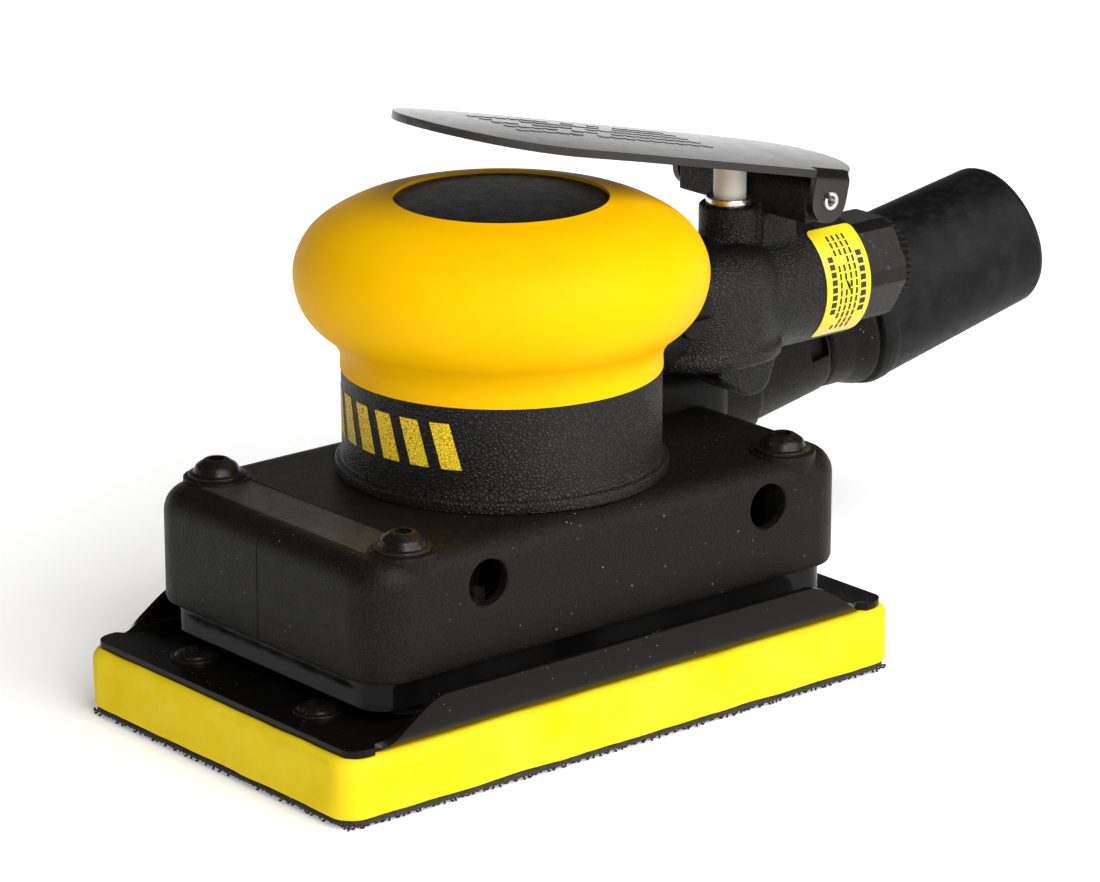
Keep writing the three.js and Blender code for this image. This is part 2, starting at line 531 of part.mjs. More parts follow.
// ---------- air inlet ----------
function inletBushing() {
  const start = BARREL.end + GAP;
  const across = BUSHING.flats / Math.sqrt(3);
  const hex = cylinder(across, start, start + BUSHING.hexLength, 0, 0, 6);
  const trim = cylinder(BUSHING.cornerFlats / Math.sqrt(3), start - 1, start + BUSHING.hexLength + 1, 0, 0, 6)
    .rotateZ(Math.PI / 6);
  const corners = turned([[0, start], [across - 0.8, start], [across + 0.1, start + 0.8],
    [across + 0.1, start + BUSHING.hexLength - 0.8], [across - 0.8, start + BUSHING.hexLength],
    [0, start + BUSHING.hexLength]]);
  const nut = geometryOf(solid(hex).intersect(solid(trim)).intersect(solid(corners)));
  const thread = cylinder(BUSHING.thread, start - BUSHING.threadLength, start + 1);
  const end = start + BUSHING.hexLength;
  const bore = cylinder(BUSHING.bore, start - BUSHING.threadLength - 1, end + 1, 0, 0, 16);
  return cut(join(nut, thread), bore).rotateY(Math.PI / 2).translate(0, 0, BARREL.z);
}

function inletPlug() {
  const start = BARREL.end + GAP + BUSHING.hexLength + GAP;
  const shape = new THREE.Shape();
  for (let i = 0; i < PLUG.teeth; i += 1) {
    for (const [radius, turn] of [[PLUG.radius, 0.2], [PLUG.radius, 0.5], [PLUG.radius - 0.6, 0.7]]) {
      const angle = (i + turn) * 2 * Math.PI / PLUG.teeth;
      const point = [radius * Math.cos(angle), radius * Math.sin(angle)];
      if (i === 0 && turn === 0.2) shape.moveTo(...point);
      else shape.lineTo(...point);
    }
  }
  const rim = prism(shape, start, start + PLUG.rim);
  const stem = cylinder(PLUG.stem, start - PLUG.stemLength, start + 0.5, 0, 0, 16);
  return join(rim, stem).rotateY(Math.PI / 2).translate(0, 0, BARREL.z);
}

// ---------- throttle ----------
const BUSH_TOP = VALVE_BOSS.top + GAP + VALVE_BUSH.height;
const LEVER_UNDER = PIVOT.z + (LEVER.rise - LEVER.sheet) / Math.cos(LEVER_TILT)
  + (PIVOT.x - VALVE_BOSS.x) * Math.tan(LEVER_TILT);
const PLUNGER_TOP = LEVER_UNDER - 2 * GAP;

function valveBush() {
  return ring(PLUNGER.radius + GAP, VALVE_BUSH.radius, VALVE_BOSS.top + GAP, BUSH_TOP);
}

function valvePlunger() {
  const { radius, length, crown } = PLUNGER;
  const top = PLUNGER_TOP;
  return turned([[0, top - length], [radius - 0.5, top - length], [radius, top - length + 0.5],
    [radius, top - crown], [radius * 0.75, top - crown * 0.4], [0, top]], 16);
}

function valveSpring() {
  const bottom = VALVE_BOSS.floor + GAP + SPRING.wire;
  const top = PLUNGER_TOP - PLUNGER.length - GAP - SPRING.wire;
  const path = new THREE.CatmullRomCurve3(Array.from({ length: SPRING.turns * 8 + 1 }, (_, i) => {
    const angle = i * Math.PI / 4;
    return new THREE.Vector3(SPRING.radius * Math.cos(angle), SPRING.radius * Math.sin(angle),
      bottom + (top - bottom) * i / (SPRING.turns * 8));
  }));
  const section = new THREE.Shape();
  section.absarc(0, 0, SPRING.wire, 0, 2 * Math.PI);
  return new THREE.ExtrudeGeometry(section, { extrudePath: path, steps: SPRING.turns * 8, curveSegments: 2 });
}

function leverOutline() {
  const half = LEVER.width / 2;
  const shape = new THREE.Shape();
  shape.moveTo(EAR_RADIUS, -half);
  shape.quadraticCurveTo(LEVER.tail, -half * 0.62, LEVER.tail, 0);
  shape.quadraticCurveTo(LEVER.tail, half * 0.62, EAR_RADIUS, half);
  shape.lineTo(LEVER.nose - LEVER.front, half);
  shape.absellipse(LEVER.nose - LEVER.front, 0, LEVER.nose, half, Math.PI / 2, 1.5 * Math.PI);
  shape.closePath();
  return shape;
}

// The lever lies flat here, with its pivot on the Y axis.
function throttleLever() {
  const half = LEVER.width / 2;
  const under = LEVER.rise - LEVER.sheet;
  const plate = prism(leverOutline(), under, LEVER.rise, 8);
  const ear = (y) => join(rodY(EAR_RADIUS, y, y + LEVER.sheet, 0, 0, 16),
    block(-EAR_RADIUS, EAR_RADIUS, y, y + LEVER.sheet, 0, under + 0.5));
  const hole = rodY(PIVOT.pin + GAP, -half - 1, half + 1, 0, 0, SMALL);
  return cut(join(plate, ear(-half), ear(half - LEVER.sheet)), hole);
}

// A rolled spring pin: a tube with a slit along it.
function leverPin() {
  const half = PIVOT.pinLength / 2;
  const tube = cut(rodY(PIVOT.pin, -half, half, 0, 0, SMALL),
    rodY(PIVOT.pin - PIVOT.pinWall, -half - 1, half + 1, 0, 0, SMALL));
  return cut(tube, block(-PIVOT.slit / 2, PIVOT.slit / 2, -half - 1, half + 1, 0, PIVOT.pin + 1)
    .rotateY(-Math.PI / 5)).translate(PIVOT.x, 0, PIVOT.z);
}

function speedDial() {
  const disc = rodY(DIAL.radius, -DIAL.face, -DIAL.back, DIAL.x, DIAL.z, 20);
  const stem = rodY(DIAL.stem, -DIAL.back - 1, DIAL.stemLength - DIAL.back, DIAL.x, DIAL.z, SMALL);
  const slot = block(DIAL.x - DIAL.radius, DIAL.x + DIAL.radius, -DIAL.face - 1, 1 - DIAL.face,
    DIAL.z - 0.5, DIAL.z + 0.5);
  return cut(join(disc, stem), slot);
}

// ---------- motor ----------
function bearing({ outer, inner, width }, bottom) {
  const groove = (outer - inner) / 4;
  return turned([
    [inner, bottom], [inner + groove, bottom], [inner + groove + 0.3, bottom + 0.5],
    [outer - groove - 0.3, bottom + 0.5], [outer - groove, bottom], [outer, bottom],
    [outer, bottom + width], [outer - groove, bottom + width], [outer - groove - 0.3, bottom + width - 0.5],
    [inner + groove + 0.3, bottom + width - 0.5], [inner + groove, bottom + width], [inner, bottom + width],
    [inner, bottom],
  ], 16);
}

function motorLiner() {
  const shell = cylinder(LINER.radius, LINER_BOTTOM, LINER_TOP, 0, 0, 32);
  const bore = cylinder(LINER.bore, LINER_BOTTOM - 1, LINER_TOP + 1, -LINER.offset, 0, 32);
  const inlet = rodX(AIRWAY.throat - 1, LINER.bore - 5, LINER.radius + 1, 0, BARREL.z, SMALL);
  const outlets = [-5, 0, 5].map((dz) =>
    block(-LINER.radius - 1, 0, -6, 6, BARREL.z + dz - 1, BARREL.z + dz + 1).rotateZ(-0.9));
  return cut(shell, bore, inlet, ...outlets);
}

function lowerEndPlate() {
  const top = LINER_BOTTOM - GAP;
  return turned([
    [LOWER_BEARING.outer + GAP, LOWER_BEARING_BOTTOM], [LINER.radius, LOWER_BEARING_BOTTOM],
    [LINER.radius, top],
    [LOWER_BEARING.inner + RUN, top], [LOWER_BEARING.inner + RUN, top - END_PLATE],
    [LOWER_BEARING.outer + GAP, top - END_PLATE], [LOWER_BEARING.outer + GAP, LOWER_BEARING_BOTTOM],
  ]);
}

function upperEndPlate() {
  const bottom = LINER_TOP + GAP;
  const hub = UPPER_BEARING.outer + GAP + 2;
  return turned([
    [UPPER_BEARING.inner + RUN, bottom], [LINER.radius, bottom], [LINER.radius, bottom + END_PLATE],
    [hub, bottom + END_PLATE + 0.5], [hub, UPPER_BEARING_TOP - 1],
    [UPPER_BEARING.outer + GAP, UPPER_BEARING_TOP - 1],
    [UPPER_BEARING.outer + GAP, bottom + END_PLATE], [UPPER_BEARING.inner + RUN, bottom + END_PLATE],
    [UPPER_BEARING.inner + RUN, bottom],
  ]);
}

function lockRing() {
  return ring(HEAD.radius + RUN, LINER.radius, LOCK_RING_TOP - 4.5, LOCK_RING_TOP);
}

function driveShaft() {
  const lower = LOWER_BEARING.inner - GAP;
  const upper = UPPER_BEARING.inner - GAP;
  const body = turned([
    [0, HEAD.bottom], [HEAD.radius, HEAD.bottom], [HEAD.radius, HEAD.top], [lower + 1.5, HEAD.top],
    [lower + 1.5, LOWER_BEARING_BOTTOM - GAP], [lower, LOWER_BEARING_BOTTOM - GAP],
    [lower, ROTOR.bottom - GAP - 0.5], [SHAFT_RADIUS, ROTOR.bottom - GAP - 0.5], [SHAFT_RADIUS, ROTOR_TOP],
    [upper, ROTOR_TOP], [upper, UPPER_BEARING_TOP - 0.5], [0, UPPER_BEARING_TOP - 0.5],
  ]);
  const pocketRadius = SPINDLE_BEARING.outer + GAP;
  const pocket = cylinder(pocketRadius, HEAD.bottom - 1, SPINDLE_BEARING_TOP + RUN, ORBIT.x, ORBIT.y);
  return cut(body, pocket);
}

function rotor() {
  const { radius, bottom, slots, slotWidth, slotDepth } = ROTOR;
  const body = cut(cylinder(radius, bottom, ROTOR_TOP, 0, 0, 30),
    cylinder(SHAFT_RADIUS + GAP, bottom - 1, ROTOR_TOP + 1, 0, 0, 16));
  const tools = Array.from({ length: slots }, (_, i) =>
    block(radius - slotDepth, radius + 2, -slotWidth / 2, slotWidth / 2, bottom - 1, ROTOR_TOP + 1)
      .rotateZ(i * 2 * Math.PI / slots));
  return cut(body, ...tools);
}

function vane(i) {
  const { radius, bottom, slots, slotDepth } = ROTOR;
  return block(radius - slotDepth + GAP, radius - GAP, -VANE_THICKNESS / 2, VANE_THICKNESS / 2,
    bottom + GAP, ROTOR_TOP - GAP).rotateZ(i * 2 * Math.PI / slots);
}

// The weight that balances the pad, on the side of the head away from the eccentric bore.
function counterweight() {
  const away = THREE.MathUtils.degToRad(ORBIT_ANGLE + 180);
  const half = THREE.MathUtils.degToRad(WEIGHT.spread / 2);
  const shape = new THREE.Shape();
  const radius = Math.min(WEIGHT.radius, SHROUD.width / 2 - SHROUD_WALL - SKIRT.wall - 2 * RUN);
  shape.absarc(0, 0, radius, away - half, away + half);
  shape.absarc(0, 0, HEAD.radius + GAP, away + half, away - half, true);
  shape.closePath();
  return prism(shape, HEAD.bottom, NECK_BOTTOM - SPIGOT.length - RUN, SMALL);
}

// ---------- assembly ----------
const sander = new THREE.Group();

function place(name, geometry, material, parent = sander, x = 0, y = 0) {
  const mesh = new THREE.Mesh(geometry, material);
  mesh.name = name;
  mesh.position.set(x, y, 0);
  parent.add(mesh);
  return mesh;
}

const pad = new THREE.Group();
pad.position.set(ORBIT.x, ORBIT.y, 0);
sander.add(pad);
place('hook_face', hookFace(), HOOK, pad);
place('foam_pad', foamPad(), FOAM, pad);
place('backing_plate', backingPlate(), BLACK_ENAMEL, pad);
place('spindle', spindle(), STEEL, pad);
place('spindle_screw', spindleScrew(), BLACK_OXIDE, pad);
CORNERS.forEach(([i, j], k) => {
  place(`plate_screw_${k + 1}`, plateScrew(), BLACK_OXIDE, pad, i * PLATE_SCREW.x, j * PLATE_SCREW.y);
});

place('drive_shaft', driveShaft(), STEEL);
place('counterweight', counterweight(), STEEL);
place('spindle_bearing', bearing(SPINDLE_BEARING, SPINDLE_BEARING_BOTTOM), STEEL, sander, ORBIT.x, ORBIT.y);
place('rotor', rotor(), STEEL);
for (let i = 0; i < ROTOR.slots; i += 1) place(`vane_${i + 1}`, vane(i), VANE_RESIN);

place('dust_shroud', dustShroud(), BLACK_NYLON);
place('skirt', skirt(), SMOKE);
CORNERS.forEach(([i, j], k) => {
  const [x, y] = [i * SHROUD_SCREW.x, j * SHROUD_SCREW.y];
  place(`shroud_screw_${k + 1}`, shroudScrew(), BLACK_OXIDE, sander, x, y);
  place(`flexible_leg_${k + 1}`, flexibleLeg(), BLACK_RUBBER, sander, x, y);
});

place('body_casting', bodyCasting(), BLACK_COMPOSITE);
place('lock_nut', lockNut(), BLACK_NYLON);
place('palm_grip', palmGrip(), GRIP_RUBBER);
place('top_cap', topCap(), BLACK_COMPOSITE);
place('motor_liner', motorLiner(), STEEL);
place('lower_end_plate', lowerEndPlate(), STEEL);
place('upper_end_plate', upperEndPlate(), STEEL);
place('lower_bearing', bearing(LOWER_BEARING, LOWER_BEARING_BOTTOM), STEEL);
place('upper_bearing', bearing(UPPER_BEARING, UPPER_BEARING_BOTTOM), STEEL);
place('lock_ring', lockRing(), BRASS);

place('exhaust_duct', exhaustDuct(), BLACK_NYLON);
place('swivel_tube', swivelTube(), BLACK_NYLON);
place('hose_adapter', hoseAdapter(), BLACK_RUBBER);
place('inlet_bushing', inletBushing(), BLACK_OXIDE);
place('inlet_plug', inletPlug(), BLACK_NYLON);

place('valve_bush', valveBush(), ZINC, sander, VALVE_BOSS.x);
place('valve_plunger', valvePlunger(), WHITE_NYLON, sander, VALVE_BOSS.x);
place('valve_spring', valveSpring(), ZINC, sander, VALVE_BOSS.x);
place('lever_pin', leverPin(), ZINC);
place('speed_dial', speedDial(), BLACK_NYLON);

const lever = place('throttle_lever', throttleLever(), BLACK_ENAMEL);
lever.position.set(PIVOT.x, 0, PIVOT.z);
lever.rotation.y = LEVER_TILT;

export default sander;
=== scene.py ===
"""Air-powered orbital sander with a rectangular pad: how each of its pieces looks."""
import json
import math

import bmesh
import bpy
from mathutils import Matrix, Vector, noise


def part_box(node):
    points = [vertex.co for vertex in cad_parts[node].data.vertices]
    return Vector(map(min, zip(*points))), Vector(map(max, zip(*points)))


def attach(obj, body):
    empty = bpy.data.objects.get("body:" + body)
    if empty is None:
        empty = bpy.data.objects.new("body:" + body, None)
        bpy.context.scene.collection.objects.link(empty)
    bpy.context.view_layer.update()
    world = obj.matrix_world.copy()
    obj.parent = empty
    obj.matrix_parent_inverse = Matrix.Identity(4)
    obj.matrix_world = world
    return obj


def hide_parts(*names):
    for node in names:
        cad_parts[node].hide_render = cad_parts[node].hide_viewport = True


MM = 0.001  # every length below is in millimetres until a piece is finished
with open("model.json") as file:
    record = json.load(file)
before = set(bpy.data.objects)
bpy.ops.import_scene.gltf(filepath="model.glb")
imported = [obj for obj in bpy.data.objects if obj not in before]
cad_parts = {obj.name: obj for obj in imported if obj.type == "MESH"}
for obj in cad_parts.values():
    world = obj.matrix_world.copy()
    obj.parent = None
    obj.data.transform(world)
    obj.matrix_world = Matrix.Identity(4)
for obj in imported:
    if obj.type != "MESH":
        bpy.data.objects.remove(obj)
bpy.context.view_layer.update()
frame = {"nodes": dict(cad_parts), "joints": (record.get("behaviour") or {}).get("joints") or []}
JOINTS = {joint["name"]: joint for joint in frame["joints"]}


# ---------- camera, floor and light ----------
def set_camera():
    camera = bpy.data.objects.new("bench_camera", bpy.data.cameras.new("bench_camera"))
    bpy.context.scene.collection.objects.link(camera)
    camera.location = (-0.53173, -0.64704, 0.31034)
    aim = Vector((0.00559, -0.00789, 0.05132))
    camera.rotation_euler = (aim - camera.location).to_track_quat("-Z", "Y").to_euler()
    camera.data.lens = 153.6
    camera.data.sensor_width = 36
    camera.data.shift_x = -0.00186
    camera.data.shift_y = -0.00469
    camera.data.clip_start = 0.01
    bpy.context.scene.camera = camera


def area_light(name, at, size, power, aim=(0, 0, 0.06)):
    light = bpy.data.lights.new(name, "AREA")
    light.shape = "RECTANGLE"
    light.size, light.size_y = size
    light.energy = power
    lamp = bpy.data.objects.new(name, light)
    bpy.context.scene.collection.objects.link(lamp)
    lamp.location = at
    lamp.rotation_euler = (Vector(aim) - Vector(at)).to_track_quat("-Z", "Y").to_euler()


def set_light():
    """A dim room with a pale band round its horizon, one very wide soft light and a small one."""
    world = bpy.data.worlds.new("studio_room")
    world.use_nodes = True
    nodes, links = world.node_tree.nodes, world.node_tree.links
    direction = nodes.new("ShaderNodeTexCoord")
    height = nodes.new("ShaderNodeSeparateXYZ")
    links.new(direction.outputs["Generated"], height.inputs["Vector"])
    fade = nodes.new("ShaderNodeMapRange")
    fade.interpolation_type = "SMOOTHSTEP"
    for socket, value in {"From Min": 0.04, "From Max": 0.24, "To Min": 0.95, "To Max": 0.06}.items():
        fade.inputs[socket].default_value = value
    links.new(height.outputs["Z"], fade.inputs["Value"])
    background = nodes["Background"]
    background.inputs["Color"].default_value = (1, 1, 1, 1)
    links.new(fade.outputs["Result"], background.inputs["Strength"])
    bpy.context.scene.world = world
    bpy.context.scene.view_settings.view_transform = "Standard"
    sun = bpy.data.lights.new("wide_softbox", "SUN")
    sun.energy, sun.angle = 4.0, math.radians(70)
    lamp = bpy.data.objects.new("wide_softbox", sun)
    bpy.context.scene.collection.objects.link(lamp)
    lamp.rotation_euler = Vector((-0.15, 0.85, -0.7)).to_track_quat("-Z", "Y").to_euler()
    area_light("front_softbox", (-0.4, -0.95, 0.62), (0.4, 0.3), 2.5)


# ---------- finishes ----------
def grafted(tree, kind, inputs=None, output=0, **settings):
    """Adds a node with its settings and its linked or plain inputs, and gives one of its outputs."""
    node = tree.nodes.new(kind)
    for key, value in settings.items():
        setattr(node, key, value)
    for key, value in (inputs or {}).items():
        if isinstance(value, bpy.types.NodeSocket):
            tree.links.new(value, node.inputs[key])
        else:
            node.inputs[key].default_value = value
    return node.outputs[output]


class Finish:
    """A material, and the nodes that colour and roughen its shader."""

    def __init__(self, name, **sockets):
        self.material = bpy.data.materials.new(name)
        self.material.use_nodes = True
        self.tree = self.material.node_tree
        self.shader = self.tree.nodes["Principled BSDF"]
        self.place = self.add("TexCoord", output="Object")
        for socket, value in sockets.items():
            self.shader.inputs[socket.replace("_", " ")].default_value = value

    def add(self, kind, inputs=None, output=0, **settings):
        return grafted(self.tree, "ShaderNode" + kind, inputs, output, **settings)

    def stretched(self, scale):
        return self.add("Mapping", {"Vector": self.place, "Scale": scale})

    def noise(self, size, detail=2, rough=0.5, place=None, output=0):
        return self.add("TexNoise", {"Vector": place or self.place, "Scale": 1 / (size * MM),
                                     "Detail": detail, "Roughness": rough}, output)

    def cells(self, size, feature="F1", place=None):
        return self.add("TexVoronoi", {"Vector": place or self.place, "Scale": 1 / (size * MM)},
                        output="Distance", feature=feature)

    def graded(self, value, start, end, low=0.0, high=1.0):
        return self.add("MapRange", {"Value": value, "From Min": start, "From Max": end,
                                     "To Min": low, "To Max": high})

    def sum(self, first, second, operation="ADD"):
        return self.add("Math", {0: first, 1: second}, operation=operation)

    def blended(self, factor, first, second):
        return self.add("Mix", {0: factor, 6: first, 7: second}, output=2, data_type="RGBA")

    def colour(self, value):
        self.tree.links.new(value, self.shader.inputs["Base Color"])

    def rough(self, value):
        self.tree.links.new(value, self.shader.inputs["Roughness"])

    def satin(self, low, high, size, detail=2, end=0.7):
        """A roughness that wanders between two values in patches of a size."""
        self.rough(self.graded(self.noise(size, detail), 0.3, end, low, high))

    def relief(self, height, depth, strength=1.0, under=None):
        inputs = {"Height": height, "Distance": depth * MM, "Strength": strength}
        if under is not None:
            inputs["Normal"] = under
        bumped = self.add("Bump", inputs)
        self.tree.links.new(bumped, self.shader.inputs["Normal"])
        return bumped

    def dressed(self, factor, first, second, satin, relief):
        """The material with two tones mixed by a factor, its satin and its relief."""
        self.colour(self.blended(factor, first, second))
        self.satin(*satin)
        self.relief(*relief)
        return self.material


def grey(value, warm=0.0):
    return (value * (1 + warm), value, value * (1 - warm), 1)


def plain_finish(name, first, second, patches, satin, grain, **sockets):
    """Two close tones in patches, a satin that wanders, and a fine grain as (size, depth, strength)."""
    f = Finish(name, **sockets)
    return f.dressed(f.noise(*patches), first, second, satin, (f.noise(grain[0], 2), *grain[1:]))


def leather_grained_composite():
    f = Finish("leather_grained_composite", Specular_IOR_Level=0.22)
    drift = f.add("VectorMath", {0: f.noise(0.8, 2, output="Color"), "Scale": 0.35 * MM}, operation="SCALE")
    wander = f.add("VectorMath", {0: f.place, 1: drift}, operation="ADD")
    pebbles = f.graded(f.cells(0.72, "DISTANCE_TO_EDGE", wander), 0.0, 0.3)
    patches = f.graded(f.noise(9, 3), 0.35, 0.7)
    black = f.blended(patches, grey(0.01, 0.1), grey(0.018, 0.14))
    fine = f.relief(f.noise(0.3, 2), 0.02, 0.4)
    return f.dressed(pebbles, grey(0.0008), black,
                     (0.36, 0.48, 2.5, 3, 0.75), (pebbles, 0.14, 0.85, fine))


def grained_nylon():
    f = Finish("grained_nylon", Specular_IOR_Level=0.12)
    dust = f.graded(f.cells(1.9), 0.11, 0.06)
    specks = f.sum(dust, f.graded(f.noise(9, 3), 0.52, 0.62), "MULTIPLY")
    grain = f.noise(0.4, 2, 0.6)
    patches = f.graded(grain, 0.38, 0.62)
    black = f.blended(patches, grey(0.002), grey(0.0095, 0.14))
    return f.dressed(specks, black, grey(0.2, 0.25), (0.4, 0.5, 3, 4, 0.75), (grain, 0.16, 0.8))


def scuffed_inlay():
    f = Finish("scuffed_inlay", Specular_IOR_Level=0.4)
    scratches = f.noise(0.35, 2, place=f.stretched((0.06, 1, 1)))
    return f.dressed(f.noise(6, 3), grey(0.012, 0.03), grey(0.05, 0.04),
                     (0.2, 0.34, 2, 3), (scratches, 0.03, 0.6))


def satin_grip_rubber():
    f = Finish("satin_grip_rubber", Specular_IOR_Level=0.04)
    tone = f.graded(f.noise(22, 3), 0.3, 0.75)
    peel = f.relief(f.noise(0.75, 2), 0.03, 0.45)
    return f.dressed(tone, (0.88, 0.46, 0.0004, 1), (0.92, 0.5, 0.0008, 1),
                     (0.4, 0.5, 1.4, 3), (f.noise(6, 2), 0.12, 0.25, peel))


def moulded_foam():
    f = Finish("moulded_foam", Specular_IOR_Level=0.04)
    patches = f.graded(f.noise(13, 4, 0.6), 0.32, 0.72)
    lemon = f.blended(patches, (0.76, 0.55, 0.004, 1), (0.86, 0.66, 0.03, 1))
    pores = f.graded(f.cells(1.9), 0.1, 0.055)
    pale = f.sum(pores, f.graded(f.noise(5, 2), 0.5, 0.6), "MULTIPLY")
    skin = f.relief(f.noise(1.1, 4, 0.6), 0.07, 0.5)
    return f.dressed(pale, lemon, (0.62, 0.45, 0.006, 1), (0.42, 0.62, 4, 4), (pores, -0.08, 0.6, skin))


def hook_weave():
    f = Finish("hook_weave")
    return f.dressed(f.noise(0.8, 2), grey(0.002), grey(0.02, 0.1),
                     (0.6, 0.85, 1), (f.cells(0.9), 0.25, 0.9))


def glossy_black_enamel():
    f = Finish("glossy_black_enamel", Specular_IOR_Level=0.14)
    dust = f.graded(f.cells(1.3), 0.12, 0.06)
    drifts = f.graded(f.noise(16, 3), 0.46, 0.6)
    specks = f.sum(dust, drifts, "MULTIPLY")
    return f.dressed(specks, grey(0.0035, 0.1), grey(0.14, 0.2),
                     (0.16, 0.3, 5, 4, 0.75), (f.noise(1.6, 2), 0.02, 0.35))


def fine_lever_enamel():
    return plain_finish("fine_lever_enamel", grey(0.006, 0.15), grey(0.01, 0.2), (7, 3),
                        (0.12, 0.18, 2.2, 3), (0.5, 0.03, 0.7), Specular_IOR_Level=0.5)


def black_oxide_steel():
    f = Finish("black_oxide", Metallic=0.6, Specular_IOR_Level=0.4)
    worn = f.graded(f.noise(1.2, 4, 0.65), 0.6, 0.75)
    return f.dressed(worn, (0.014, 0.012, 0.011, 1), (0.1, 0.085, 0.075, 1),
                     (0.24, 0.42, 0.9, 3), (f.noise(0.3, 2), 0.015, 0.5))


def smoked_skirt_plastic():
    f = Finish("smoked_skirt_plastic", Specular_IOR_Level=0.12)
    haze = f.graded(f.noise(18, 3, place=f.stretched((1, 1, 0.3))), 0.35, 0.7)
    return f.dressed(haze, grey(0.003), grey(0.01), (0.06, 0.16, 9, 3), (f.noise(8, 2), 0.16, 0.4))


def mottled_black_rubber():
    f = Finish("mottled_black_rubber", Specular_IOR_Level=0.14)
    bloom = f.graded(f.noise(4, 5, 0.75), 0.45, 0.75)
    return f.dressed(bloom, grey(0.003), grey(0.015),
                     (0.45, 0.62, 2, 3), (f.noise(0.7, 4, 0.6), 0.1, 0.7))


def bright_zinc():
    return plain_finish("bright_zinc", grey(0.62, 0.02), grey(0.78, 0.03), (1.2, 3),
                        (0.16, 0.32, 0.8, 3), (0.4, 0.01, 0.4), Metallic=1.0)


def turned_steel():
    f = Finish("turned_steel", Metallic=1.0)
    marks = f.noise(0.4, 2, place=f.stretched((0.2, 0.2, 1)))
    f.colour(f.blended(f.noise(6, 3), grey(0.42), grey(0.55)))
    f.rough(f.graded(marks, 0.3, 0.7, 0.22, 0.38))
    f.relief(marks, 0.01, 0.5)
    return f.material


def warm_white_nylon():
    f = Finish("warm_white_nylon", Subsurface_Weight=0.15, Subsurface_Scale=0.001)
    return f.dressed(f.noise(3, 3), (0.82, 0.78, 0.7, 1), (0.9, 0.87, 0.8, 1),
                     (0.36, 0.5, 1.2), (f.noise(0.5, 2, place=f.stretched((1, 1, 0.15))), 0.01, 0.4))


def vane_resin():
    return plain_finish("cloth_filled_resin", (0.11, 0.05, 0.02, 1), (0.2, 0.1, 0.045, 1), (0.8, 3),
                        (0.45, 0.65, 1, 2), (0.6, 0.02, 0.5))


def plain_brass():
    return plain_finish("plain_brass", (0.6, 0.4, 0.13, 1), (0.72, 0.5, 0.19, 1), (4, 3),
                        (0.25, 0.4, 1, 3), (0.5, 0.01, 0.4), Metallic=1.0)


def yellow_label_film():
    return plain_finish("yellow_label_film", (0.8, 0.62, 0.004, 1), (0.88, 0.7, 0.01, 1), (7, 3),
                        (0.28, 0.42, 3, 2), (2.5, 0.02, 0.4), Coat_Weight=0.3, Coat_Roughness=0.15)


def black_print():
    f = Finish("black_print")
    f.colour(f.blended(f.noise(1, 2), grey(0.008), grey(0.02)))
    f.satin(0.4, 0.6, 1)
    return f.material


def gold_print():
    f = Finish("gold_print")
    missing = f.graded(f.cells(0.62, "DISTANCE_TO_EDGE"), 0.02, 0.09)
    return f.dressed(missing, (0.2, 0.12, 0.002, 1), (0.95, 0.66, 0.006, 1),
                     (0.5, 0.65, 1), (missing, 0.06, 0.7))


def pale_floor():
    f = Finish("pale_floor", Specular_IOR_Level=0.0, Emission_Color=(1, 1, 1, 1), Emission_Strength=0.3)
    f.colour(f.blended(f.noise(300, 2), grey(0.93), grey(0.95)))
    f.satin(0.7, 0.8, 200)
    return f.material


# ---------- outlines and shapes ----------
def corners(node):
    low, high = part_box(node)
    return low / MM, high / MM


def middle(node):
    low, high = corners(node)
    return (low + high) / 2


def extent(node):
    return *corners(node), middle(node)


def arc(start, end, count):
    return [math.radians(start + (end - start) * i / count) for i in range(count + 1)]


def eased(path, radius=0.4, steps=4, closed=False):
    """The path with its corners rounded; a third number in a point is that corner's own radius."""
    result = []
    for i, point in enumerate(path):
        here = Vector(point[:2])
        own = point[2] if len(point) > 2 else radius
        if own == 0 or (not closed and i in (0, len(path) - 1)):
            result.append(here)
            continue
        before = Vector(path[i - 1][:2]) - here
        after = Vector(path[(i + 1) % len(path)][:2]) - here
        angle = before.angle(after)
        if angle > math.radians(176):
            result.append(here)
            continue
        reach = min(own / math.tan(angle / 2), before.length * 0.48, after.length * 0.48)
        start, end = here + before.normalized() * reach, here + after.normalized() * reach
        for k in range(steps + 1):
            t = k / steps
            result.append(start * (1 - t) ** 2 + here * 2 * t * (1 - t) + end * t ** 2)
    return result


def flowing(points, steps=6):
    """A smooth curve through the points."""
    points = [Vector(p) for p in points]
    ends = [2 * points[0] - points[1], *points, 2 * points[-1] - points[-2]]
    result = []
    for a, b, c, d in zip(ends, ends[1:], ends[2:], ends[3:]):
        for k in range(steps):
            t = k / steps
            result.append(0.5 * (2 * b + (c - a) * t + (2 * a - 5 * b + 4 * c - d) * t * t
                                 + (3 * b - a - 3 * c + d) * t ** 3))
    return [*result, points[-1]]


def bridged(rings, closed=False):
    """Faces between rings of point numbers; a ring on the axis repeats one number."""
    faces = []
    for low, high in list(zip(rings, rings[1:])) + ([(rings[-1], rings[0])] if closed else []):
        for i in range(len(low)):
            j = (i + 1) % len(low)
            face = list(dict.fromkeys([low[i], low[j], high[j], high[i]]))
            if len(face) > 2:
                faces.append(face)
    return faces


def turned(profile, steps=96, closed=False, place=None):
    """A profile of (radius, height) turned about Z, then put in its place."""
    points, rings = [], []
    for radius, height in profile:
        if radius < 1e-6:
            rings.append([len(points)] * steps)
            points.append(Vector((0, 0, height)))
        else:
            rings.append(list(range(len(points), len(points) + steps)))
            points += [Vector((radius * math.cos(a), radius * math.sin(a), height))
                       for a in arc(0, 360, steps)[:-1]]
    return moved((points, bridged(rings, closed)), place or Matrix())


def moved(shape, place):
    return [place @ point for point in shape[0]], shape[1]


